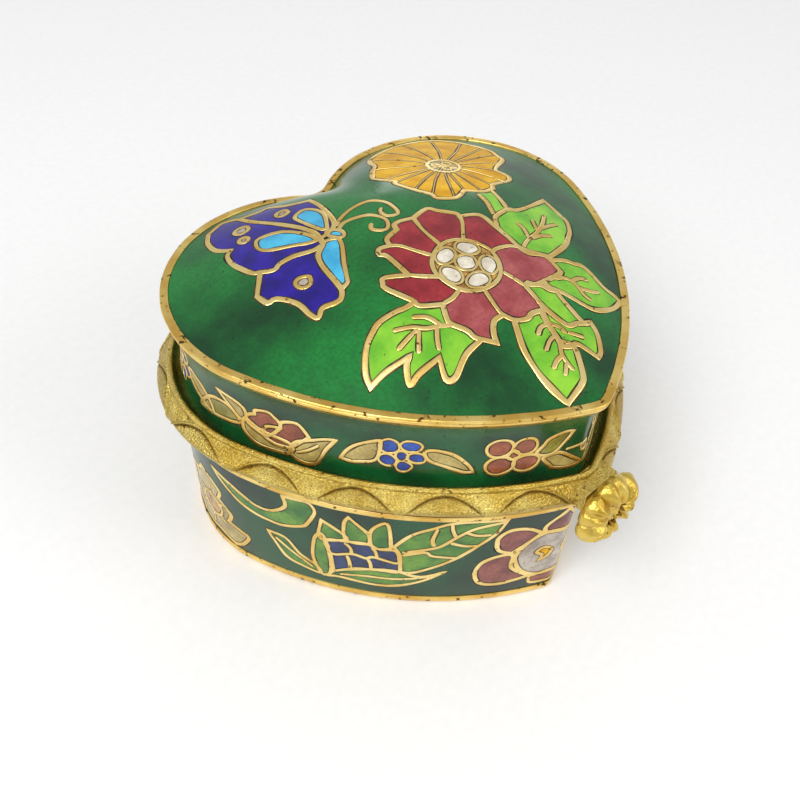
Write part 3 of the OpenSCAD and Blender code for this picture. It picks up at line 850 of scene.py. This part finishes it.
def rust_spray(p):
    """Four rust petals round a centre, with two leaves to the right."""
    for cu, cv, ru, rv in ((-9.7, 26.6, 1.35, 1.3), (-7.05, 26.6, 1.2, 1.2), (-9.5, 24.1, 1.5, 1.2),
                           (-6.75, 24.2, 1.4, 1.1), (-8.15, 25.45, 0.65, 0.55)):
        p.cell(oval(cu, cv, ru, rv, 12), RUST, FINE)
    p.cell([(-5.8, 25.3), (-5.1, 26.4), (-4.6, 27.2), (-3.05, 27.9), (-2.25, 27.8, C), (-2.6, 26.8),
            (-3.7, 25.15), (-4.9, 24.85)], OLIVE)
    p.cell([(-4.95, 24.4), (-4.3, 24.8), (-3, 24.85), (-1.35, 23.6), (-0.3, 23, C), (-2.05, 22.6),
            (-3.7, 22.9), (-4.2, 23.4)], TAN)


def bud_spray(p):
    """Two heart-shaped rust buds in a tan calyx, with a narrow leaf and a wide one to the left."""
    p.cell([(-36.2, 25.2), (-36.6, 24.4), (-36.3, 23.3), (-34.8, 22.35), (-32.1, 22.35), (-31, 22.7),
            (-31.1, 23.8), (-34.4, 24.4)], TAN)
    p.cell([(-31, 23.3), (-30.2, 24.5), (-27.7, 25.7), (-26.25, 26, C), (-27.1, 24.5), (-28.15, 22.3),
            (-29.8, 22), (-31.05, 22.7)], TAN)
    p.wire([(-30.4, 22.9), (-29.2, 23.7), (-28, 24.8)])
    p.cell([(-35.1, 26.3, C), (-36, 25.7), (-36.1, 24.85), (-34.95, 24.1), (-33.6, 23.9), (-32.15, 25.85),
            (-32.9, 27), (-33.55, 27.35), (-34.9, 26.9)], RUST)
    p.cell([(-32.1, 25.6, C), (-33.7, 25.1), (-34.1, 23.8), (-32.65, 23.1), (-31.1, 23.3, C), (-29, 25.5, C),
            (-29.8, 26.65), (-30.55, 27), (-32, 26.4)], RUST)
    p.cell([(-39.75, 27.35, C), (-37.5, 27.05), (-36.4, 26.45), (-36.2, 25.2), (-36.85, 24.75),
            (-38.45, 26)], TAN)
    p.cell([(-43, 23.5), (-41.2, 25.4), (-38.85, 25.9), (-37.4, 25.2, C), (-37, 24.15), (-39.3, 23.6),
            (-41.9, 23.3)], OLIVE)


def lid_side_pattern():
    """The frieze round the lid, mirrored about the tip; the run behind the lobes carries on the same set."""
    p = Pattern(GREEN_SIDE)
    for flip, away in BOTH_SIDES:
        for motif, shift in ((rust_spray, 0), (blue_spray, 0), (bud_spray, 0),
                             (blue_spray, 28.5), (rust_spray, 49.0), (blue_spray, 49.5)):
            p.place(motif, away * shift, flip)
    p.wire([(-2.6, 25.1), (-0.55, 25.5)])
    p.cell(oval(0.2, 25.1, 0.85, 0.6, 20), RUST)
    return p


def curl_leaf(p):
    p.cell([(-32, 15.8, C), (-30.4, 15.95), (-29, 15.95), (-28.35, 14.6), (-29.2, 12.3), (-30, 11.4),
            (-32.3, 10.35), (-34.2, 10.3), (-36.2, 10.65), (-38.2, 11.6), (-40.35, 13.25), (-41.6, 14.6, C),
            (-39.1, 13.8), (-37.3, 12.9), (-35.35, 12.1), (-33.4, 12.4), (-31.85, 14)], LEAF_DULL)


def tan_flower(p):
    """Half hidden behind the left lobe in the front view; made whole here."""
    p.cell([(-42.35, 11.5, C), (-41.15, 10.45), (-41.6, 9, C), (-40.1, 7.9), (-39.6, 7.25), (-40.2, 5.7, C),
            (-38.35, 5.3), (-37.2, 4.65), (-38.3, 2.55), (-39.6, 1.75, C), (-42, 2.4), (-44, 2.2),
            (-46.2, 2.6, C), (-46.8, 4.8), (-48.2, 6.4, C), (-47.4, 8.3), (-47.6, 10.2, C), (-45.6, 10.8),
            (-44.6, 12.2, C)], TAN, THICK)
    p.cell(oval(-43.2, 6.6, 1.9, 1.7), OCHRE)
    for du, dv in ((0, 3.6), (2.1, 1.3), (2.4, -1.9), (-0.2, -3.6), (-2.6, -1.6), (-2.4, 1.6)):
        p.wire([(-43.2 + 0.55 * du, 6.6 + 0.55 * dv), (-43.2 + du, 6.6 + dv)])


def lotus(p):
    """Three upright petals over a body of navy scales, a petal at the left, a long leaf and a bottom leaf."""
    p.cell([(-34.2, 8.25, C), (-32.15, 8.1), (-30.4, 5.9), (-28.6, 4.6), (-28, 3.15), (-30.2, 3.55),
            (-32.25, 4.5), (-33.8, 7.2)], LEAF_DULL)
    p.wire([(-33.6, 7.6), (-31.4, 5.9), (-28.9, 3.9)])
    for petal in ([(-27.35, 10), (-28, 10.85), (-27.9, 12.1), (-27.6, 13.6, C), (-25.3, 11.95), (-24.9, 11)],
                  [(-24.85, 11), (-25.15, 13.85), (-24.6, 15.2, C), (-22.4, 12.8, C), (-22.3, 11.8),
                   (-22.6, 10.85)],
                  [(-21.9, 10.45), (-22.2, 13.25), (-21, 15), (-20.3, 14.75), (-20, 11.75), (-20.1, 10.6)]):
        p.cell(petal, LEAF_DULL)
    p.cell([(-27.75, 11.05), (-28.5, 9.8), (-28.8, 6.5), (-28, 3.4), (-27.3, 3), (-26.7, 4), (-26.85, 7.6),
            (-27.2, 10)], LEAF_DULL)
    p.cell([(-27.2, 10), (-24.75, 10.7), (-22.45, 10.85), (-21.2, 10.25), (-19.35, 10.25), (-18.85, 8.2),
            (-18.85, 6.25), (-20.8, 6.1), (-23.7, 5.7), (-26.4, 4.15, C), (-26.6, 7.2)], NAVY)
    for line in ([(-26.9, 9.35), (-26.85, 7.9), (-26.05, 7.7), (-24.15, 8.4), (-22.6, 8.1), (-21.75, 8.6),
                  (-19.3, 7.9), (-18.9, 8.2)],
                 [(-25.05, 10.35), (-24.4, 9.45), (-24.3, 8.35)],
                 [(-22, 10.35), (-21.6, 9.65), (-21.35, 8.55)],
                 [(-24.75, 8), (-24.5, 6.75), (-24.45, 5.5)],
                 [(-22.45, 8.1), (-22.1, 7.2), (-22, 6.15)]):
        p.wire(line, MIDDLE)
    p.cell([(-26.4, 4.15), (-24.75, 5.15), (-22.25, 6), (-19.35, 6.3), (-17.15, 5.6), (-15.7, 5.65),
            (-13.7, 6.6, C), (-15.9, 4.85), (-18.9, 3.35), (-21.8, 3), (-25.65, 3.3), (-26.9, 3.05, C)],
           LEAF_DULL)
    p.wire([(-25.6, 3.9), (-22.4, 4.5), (-18.8, 4.7), (-15.4, 5.6)])


def leaf_spray(p):
    """A long feathered leaf that runs up to the right of the lotus."""
    p.cell([(-19.6, 11, C), (-17.8, 13.4), (-15.7, 14.8), (-13.6, 15.8), (-10, 16), (-7.7, 15.9, C),
            (-8.75, 13.5), (-10.6, 11.3), (-12.5, 9.4), (-14.4, 8), (-17.2, 6.25), (-18.7, 6.2, C),
            (-18.9, 9.4)], LEAF_DULL)
    for line in ([(-18.65, 9.55), (-16.2, 10.4), (-15.3, 9.7), (-12.55, 9.3)],
                 [(-18.65, 10.1), (-16.7, 10.7), (-14.7, 11.5), (-12.95, 13.25), (-11, 14.8), (-7.7, 15.5)],
                 [(-13.6, 15.6), (-13.4, 14.45), (-13, 13.35)],
                 [(-15.05, 14.85), (-15.5, 12.75), (-15.25, 11.6)],
                 [(-12.05, 14.2), (-10.8, 13.5), (-9.2, 13.4)],
                 [(-13.55, 12.2), (-11.95, 11.6), (-10.4, 11.6)]):
        p.wire(line, MIDDLE)


def peony_petals(p):
    """The two dark rose petals of one side."""
    p.cell([(-10.25, 5.85), (-9.7, 8), (-8, 9.1), (-6.25, 8.9), (-6.1, 6.35), (-3.55, 3.95, C), (-5.6, 3.5),
            (-7.8, 3.3), (-9.6, 3.9)], ROSE, THICK)
    p.cell([(-8.4, 11.4), (-8.3, 12.7), (-7, 13.75), (-4.95, 13.5), (-3.3, 12.35, C), (-4.8, 10.8),
            (-6.45, 9.35, C), (-7.9, 10.1)], ROSE, THICK)


def peony_crescent(p):
    p.cell([(-3.4, 8.6), (-2.6, 9.3), (-1.6, 8.6), (-1.9, 7.4), (-2.9, 6.8, C), (-2.6, 7.8)], YELLOW)


def peony(p):
    """The flower on the tip: pale inner petals between dark rose ones, evened up on the hidden side."""
    p.place(peony_petals, 0.0, False)
    p.place(peony_petals, PEONY_MIRROR, True)
    p.cell([(-3.5, 3.7, C), (-3.2, 2.3), (-0.5, 2.0), (2.2, 2.3), (2.5, 3.7, C), (-0.5, 4.2)], RUST)
    p.cell([(-3, 12.3, C), (-3, 13.5), (-1.3, 15.15), (-0.5, 15.8), (0.3, 15.15), (2, 13.5), (2, 12.3, C),
            (-0.5, 12)], ROSE, THICK)
    p.cell([(-5.75, 9.1), (-5.8, 7.7), (-4.8, 5.3), (-2.75, 4), (-0.5, 4.1), (1.75, 4), (3.8, 5.3),
            (4.8, 7.7), (4.75, 9.1), (3.8, 10.8), (2, 12.1), (-0.5, 12.2), (-3, 12.1), (-4.8, 10.8)], PEARL,
           THICK)
    p.place(peony_crescent, 0.0, False)
    p.place(peony_crescent, PEONY_MIRROR, True)


def base_side_pattern():
    """The band round the base, mirrored about the tip; the run behind the lobes repeats the lotus."""
    p = Pattern(GREEN_BASE)
    for flip, away in BOTH_SIDES:
        for motif, shift in ((leaf_spray, 0), (lotus, 0), (curl_leaf, 0), (tan_flower, 0),
                             (lotus, 36.5), (curl_leaf, 41.5)):
            p.place(motif, away * shift, flip)
    peony(p)
    return p


def dome_pattern():
    p = Pattern(GREEN)
    dome_leaves(p)
    yellow_flower(p)
    red_flower(p)
    butterfly(p)
    return p


# ---- The enamel sheets and their wires ----
def ride(piece, body, slot, *replaced):
    """Puts a piece on its body, in place of the CAD nodes it replaces; slot is not used."""
    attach(piece, body)
    if replaced:
        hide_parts(*replaced)
    return piece


SIDE_ENAMEL_LOW, SIDE_ENAMEL_HIGH = 20.8, 30.25
FOOT_TOP, BASE_ENAMEL_TOP = 1.4, 16.15
DOME_SEED, SIDE_SEED, BASE_SEED = 11, 12, 13


def lay(name, body, node, surface, domain, pattern, seed):
    """A sheet of enamel that replaces a CAD node, and its wires."""
    grid = grid_points(domain, pitch=0.8, margin=0.25)
    sheet = enamel_sheet(name, surface, domain, pattern.fills, grid, pattern.materials)
    ride(sheet, body, "green_enamel", node)
    # The wires' second material is the painted shade beside them
    wires = ribbons(name + "_wires", surface, pattern.wires, [WIRE, WIRE_SHADE], seed)
    ride(wires, body, "wire_gold")


def dome_enamel():
    s = np.linspace(-HALF_L, HALF_L, 420, endpoint=False)
    x, y, _, _ = along(s, DOME_OFF - 0.02)
    domain = np.stack([x, y], -1)
    lay("dome_enamel", "lid", "lid_dome_enamel", dome_surface, domain, dome_pattern(), DOME_SEED)


def side_enamel(name, body, node, off, low, high, pattern, seed):
    """A band round the outline; its two ends meet at the cleft."""
    s = np.linspace(-HALF_L, HALF_L, 361)
    z = np.linspace(low, high, 13)
    domain = np.vstack([np.stack([s, np.full_like(s, low)], -1),
                        np.stack([np.full(11, HALF_L), z[1:-1]], -1),
                        np.stack([s[::-1], np.full_like(s, high)], -1),
                        np.stack([np.full(11, -HALF_L), z[-2:0:-1]], -1)])
    lay(name, body, node, swept_surface(off), domain, pattern, seed)


dome_enamel()
side_enamel("lid_side_enamel_sheet", "lid", "lid_side_enamel", side_off, SIDE_ENAMEL_LOW, SIDE_ENAMEL_HIGH,
            lid_side_pattern(), SIDE_SEED)
side_enamel("base_side_enamel_sheet", "base", "base_side_enamel", wall_off, FOOT_TOP, BASE_ENAMEL_TOP,
            base_side_pattern(), BASE_SEED)


# ---- Metal bands round the outline ----
def ragged(amount):
    """Moves a swept edge slightly in and out along its length, as solder and filing leave it."""
    def bend(s, offset, z, row):
        turn = 2 * math.pi / (2 * HALF_L)
        wave = sum(np.sin(s * turn * n + n * n) for n in (7, 13, 29, 41)) / 4
        return offset - amount * (0.5 + 0.5 * wave), z
    return bend


def arc_points(cu, cv, radius, first, last, n):
    """(offset, z) points on an arc; angles in degrees."""
    return [(cu + radius * math.cos(math.radians(a)), cv + radius * math.sin(math.radians(a)))
            for a in np.linspace(first, last, n)]


def edge_band():
    """The rolled gold edge between the dome and the lid's side."""
    r = 0.2
    top = EDGE_Z + 0.4
    profile = (arc_points(-r, EDGE_Z + r, r, -90, 90, 9)[:-1] + [(-0.25, top - 0.005), (-0.6, top - 0.02)]
               + arc_points(-0.78, top - 0.1, 0.1, 90, 180, 3) + [(-0.88, EDGE_Z)])
    ride(sweep("edge_band", profile, [RIM], bend=ragged(0.06)), "lid", "wire_gold", "lid_edge_band")


def side_rim():
    """The second gold rim, just under the edge band, with a faint groove."""
    low = float(side_off(30.27)) + 0.1
    profile = [(-1.2, 30.27), (low - 0.06, 30.27), (low, 30.36), (-0.55, 30.72), (-0.47, 30.8), (-0.4, 30.92),
               (-0.3, 31.05), (-0.16, 31.28), (-0.12, 31.45), (-0.14, 31.58), (-0.26, 31.66), (-1.2, 31.66)]
    ride(sweep("side_rim", profile, [RIM], bend=ragged(0.03)), "lid", "wire_gold", "lid_side_rim")


def top_band():
    """The base's gold band and the dark copper neck above it."""
    w = [float(v) for v in wall_off(np.array([16.12, 16.4, 16.65, 16.82, 16.9]))]
    band = [(-2.3, 16.12), (w[0] - 0.02, 16.12), (w[0] + 0.05, 16.21), (w[1] + 0.075, 16.4),
            (w[2] + 0.08, 16.65), (w[3] + 0.06, 16.82)]
    neck = [(w[4] - 0.04, 16.9), (-0.83, 17.05), (-0.85, 18.3), (-0.83, 19.15), (-0.9, 19.24), (-2.3, 19.24)]
    bands = [0] * len(band) + [1] * len(neck)
    ride(sweep("top_band", band + neck, [RIM, COPPER], bands=bands, bend=ragged(0.03)), "base", "wire_gold",
         "base_top_band")


def foot_rim():
    """The gold foot, rounded under."""
    w = [float(v) + 0.06 for v in wall_off(np.array([0.6, 1.0, 1.38]))]
    profile = [(-2.43, 0.0), (-1.86, 0.0), (-1.7, 0.06), (-1.58, 0.2), (w[0] - 0.03, 0.45), (w[0], 0.62),
               (w[1], 1.0), (w[2] - 0.01, 1.3), (w[2] - 0.06, 1.38), (-2.0, 1.38), (-2.43, 0.58)]
    ride(sweep("foot_rim", profile, [RIM], bend=ragged(0.02)), "base", "wire_gold", "base_foot_rim")


edge_band()
side_rim()
top_band()
foot_rim()


# ---- The cast collar: a flared skirt with arches in relief, under a sandy bead ----
ARCHES = 18
ARCH_PITCH = 2 * HALF_L / ARCHES
# The V of the ridges nearest the tip lies this share of the pitch to its left
ARCH_SHIFT = 0.22
RELIEF_DEPTH = 0.2
COLLAR_STATIONS = 1200


def collar_relief(s, across):
    """Height of the relief: across runs up the skirt, from its lower edge (0) to the bead (1).

    The ridges meet in a V on the lower edge and rise to an arch under the bead. A groove follows each ridge
    on its inside, and the metal inside the arch is a little hollow, most of all at its top.
    """
    phase = np.abs(((s / ARCH_PITCH + ARCH_SHIFT) % 1.0) - 0.5) * 2
    arch = (1 - phase ** 1.8) ** 0.75
    gap = across - arch
    ridge = 0.8 * np.exp(-(gap / 0.045) ** 2)
    groove = 0.8 * np.exp(-((gap + 0.075) / 0.04) ** 2)
    hollow = np.where(gap < 0, np.clip(-gap / 0.12, 0, 1) * 0.35 * across, 0)
    return ridge - groove - hollow


def collar():
    """A dense sweep, so that the relief is in the mesh."""
    knots = [(0.98, PART_Z + 0.03, C), (1.25, 19.55), (1.52, 19.9), (1.68, 20.3), (1.6, 20.75), (1.24, 21.3),
             (0.78, 21.8), (0.38, 22.1)]
    skirt = smooth(knots, False, 0.07)
    path = np.concatenate([[0], np.cumsum(np.hypot(*np.diff(skirt, axis=0).T))])
    path /= path[-1]
    lean = np.gradient(skirt, axis=0)
    lean /= np.linalg.norm(lean, axis=1, keepdims=True)
    bead = arc_points(0.04, 22.2, 0.34, -12, 172, 11)
    inner = [(-0.5, 21.66), (-0.83, 21.2), (-1.33, 20.95), (-1.33, PART_Z + 0.02), (0.5, PART_Z + 0.02)]
    profile = list(map(tuple, skirt)) + bead + inner
    hollow = np.zeros((COLLAR_STATIONS, len(profile)))

    def bend(s, offset, z, row):
        """Moves the skirt's points along its normal by the relief, and notes how sunken each one is, for the
        painted shade.
        """
        if row >= len(skirt):
            return offset, z
        fade = min(1.0, path[row] * 7, (1 - path[row]) * 14 + 0.4)
        relief = collar_relief(s, path[row])
        hollow[:, row] = np.clip(-1.2 * relief * fade, 0, 1)
        depth = RELIEF_DEPTH * fade * (relief - 0.7) + 0.03
        return offset + depth * lean[row][1], z - depth * lean[row][0]

    piece = sweep("collar", profile, [CAST], stations=COLLAR_STATIONS, bend=bend)
    # The "hollow" attribute drives the painted shade in the collar's gold
    piece.data.attributes.new("hollow", "FLOAT", "POINT").data.foreach_set("value", hollow.ravel())
    ride(piece, "lid", "cast_gold", "lid_collar")


collar()


# ---- The clasp flower: six domed petals, each with two ribs, round a small boss ----
FLOWER_Z = PART_Z
FLOWER_BACK, FLOWER_DEPTH = -25.475, 2.5
FLOWER_R, BOSS_R, PETALS = 4.25, 1.3, 6


def petal_radius(angle):
    """The flower's rim: six round lobes, each faintly cleft in two."""
    beat = np.abs(np.cos(angle * PETALS / 2))
    cleft = np.exp(-((1 - beat) / 0.04) ** 2)
    return FLOWER_R * (0.87 + 0.13 * beat ** 0.6 - 0.03 * cleft)


def flower_ring(angle, radius, height):
    """Points round the flower's axis; height goes from its back (0) to its front (1)."""
    y = np.broadcast_to(FLOWER_BACK - FLOWER_DEPTH * height, angle.shape)
    return np.stack([radius * np.sin(angle), y, FLOWER_Z + radius * np.cos(angle)], -1)


def clasp_flower():
    """A disc of rings: the front swells into petals and the back is flat."""
    spokes, rings, bore = 240, 26, BOSS_R * 0.9
    angle = np.linspace(0, 2 * math.pi, spokes, endpoint=False)
    rim = petal_radius(angle)
    beat = np.abs(np.cos(angle * PETALS / 2))
    ribs = np.exp(-((beat - 0.72) / 0.2) ** 2)
    groove = np.exp(-((1 - beat) / 0.05) ** 2)
    valley = (1 - beat) ** 1.4
    points = []
    for t in np.linspace(0, 1, rings):
        hump = np.sin(math.pi * min(1.0, 0.12 + 0.9 * t)) ** 0.55 if t < 0.999 else 0.0
        height = 0.30 + 0.60 * hump - 0.30 * hump * valley + 0.1 * hump * ribs - 0.2 * hump * groove
        points.append(flower_ring(angle, bore + (rim - bore) * t, np.clip(height, 0.06, 0.985)))
    for radius, height in ((rim, 0.16), (rim * 0.93, 0.0), (bore, 0.0)):
        points.append(flower_ring(angle, radius, height))
    faces, owner = [], []
    for k in range(len(points)):
        m = (k + 1) % len(points)
        for i in range(spokes):
            j = (i + 1) % spokes
            faces.append((k * spokes + i, k * spokes + j, m * spokes + j, m * spokes + i))
            # The three rings next to the bore take the darker gold: painted shade round the boss
            owner.append(1 if k < 3 else 0)
    ride(new_object("clasp_blossom", np.concatenate(points), faces, [CAST_SHINY, BOSS_SHADE_GOLD], owner), "clasp",
         "cast_gold", "clasp_flower")


def clasp_centre():
    """The boss: a low dome with a dimple, which fills the flower's bore."""
    spokes = 64
    angle = np.linspace(0, 2 * math.pi, spokes, endpoint=False)
    profile = [(0.9, 0.0), (0.9, 0.42), (0.84, 0.58), (0.7, 0.68), (0.52, 0.71), (0.36, 0.66), (0.2, 0.58)]
    dimple = 0.55
    points = np.vstack([[(0.0, FLOWER_BACK, FLOWER_Z)],
                        *(flower_ring(angle, BOSS_R * r, height) for r, height in profile),
                        [(0.0, FLOWER_BACK - FLOWER_DEPTH * dimple, FLOWER_Z)]])
    faces = []
    for i in range(spokes):
        j = (i + 1) % spokes
        faces.append((0, 1 + j, 1 + i))
        for k in range(len(profile) - 1):
            low, high = 1 + k * spokes, 1 + (k + 1) * spokes
            faces.append((low + i, low + j, high + j, high + i))
        faces.append((high + i, high + j, len(points) - 1))
    ride(new_object("clasp_boss", points, faces, [CAST_SHINY]), "clasp", "cast_gold", "clasp_flower_centre")


clasp_flower()
clasp_centre()


# ---- CAD nodes that keep their shape and get a finish ----
FINISHES = (
    (COPPER, ("base_shell", "lid_dome_plate", "lid_side_ring")),
    (GREEN_BASE, ("base_floor_enamel",)),
    (LINING, ("base_lining", "lid_lining")),
    (RIM, ("base_bezel", "catch_stud")),
    (CAST_PLAIN, ("base_hinge_leaf", "hinge_pin", "lid_clasp_lug", "lid_hinge_leaf", "clasp_pin",
                  "clasp_tongue")),
)
for material, nodes in FINISHES:
    for node in nodes:
        slots = frame["nodes"][node].data.materials
        slots.clear()
        slots.append(material)


# ---- Floor, light and camera ----
def floor():
    """A sheet of paper 4 m square, a hair below the foot."""
    n, half = 24, 2.0
    line = np.linspace(-half, half, n) / MM
    points = [(x, y, -0.02) for y in line for x in line]
    faces = []
    for near in range(0, n * (n - 1), n):
        for i in range(near, near + n - 1):
            faces.append((i, i + 1, i + n + 1, i + n))
    new_object("floor", points, faces, [floor_material()])


def area_light(name, place, target, size, power):
    data = bpy.data.lights.new(name, "AREA")
    data.shape = "RECTANGLE"
    data.size, data.size_y = size
    data.energy = power
    lamp = bpy.data.objects.new(name, data)
    lamp.location = Vector(place)
    lamp.rotation_euler = (Vector(target) - Vector(place)).to_track_quat("-Z", "Y").to_euler()
    bpy.context.scene.collection.objects.link(lamp)


def world():
    background = bpy.data.worlds.new("studio")
    background.use_nodes = True
    node = background.node_tree.nodes["Background"]
    node.inputs["Color"].default_value = (1.0, 1.0, 1.0, 1.0)
    node.inputs["Strength"].default_value = 0.6
    bpy.context.scene.world = background


def plain_colours():
    """Shows colours as they are, without a film curve, since the box stands on plain white."""
    bpy.context.scene.view_settings.view_transform = "Standard"


CAMERA_DISTANCE = 118.81


def camera():
    """The main view: from above and to the left of the heart's tip, with a slight roll."""
    az, el, roll = map(math.radians, (-44.96, 44.1, 4.0))
    target = Vector((0, 3.375, 18)) * MM
    back = Vector((math.sin(az) * math.cos(el), -math.cos(az) * math.cos(el), math.sin(el)))
    level = (-back).cross(Vector((0, 0, 1))).normalized()
    above = level.cross(-back)
    right = level * math.cos(roll) + above * math.sin(roll)
    up = above * math.cos(roll) - level * math.sin(roll)
    data = bpy.data.cameras.new("camera")
    data.lens, data.sensor_width = 46.03, 36
    data.shift_x, data.shift_y = -0.0105, -0.0523
    data.clip_start = 0.005
    place = target + back * CAMERA_DISTANCE * MM
    eye = bpy.data.objects.new("camera", data)
    eye.matrix_world = Matrix.Translation(place) @ Matrix((right, up, back)).transposed().to_4x4()
    bpy.context.scene.collection.objects.link(eye)
    bpy.context.scene.camera = eye


floor()
plain_colours()
world()
area_light("key", (-0.30, -0.10, 0.40), (0, 0, 0.02), (0.26, 0.26), 1.6)
area_light("fill", (0.20, -0.40, 0.34), (0, 0, 0.02), (0.26, 0.26), 0.6)
area_light("rear", (0.38, 0.38, 0.14), (0, 0, 0.03), (0.2, 0.1), 0.15)
camera()
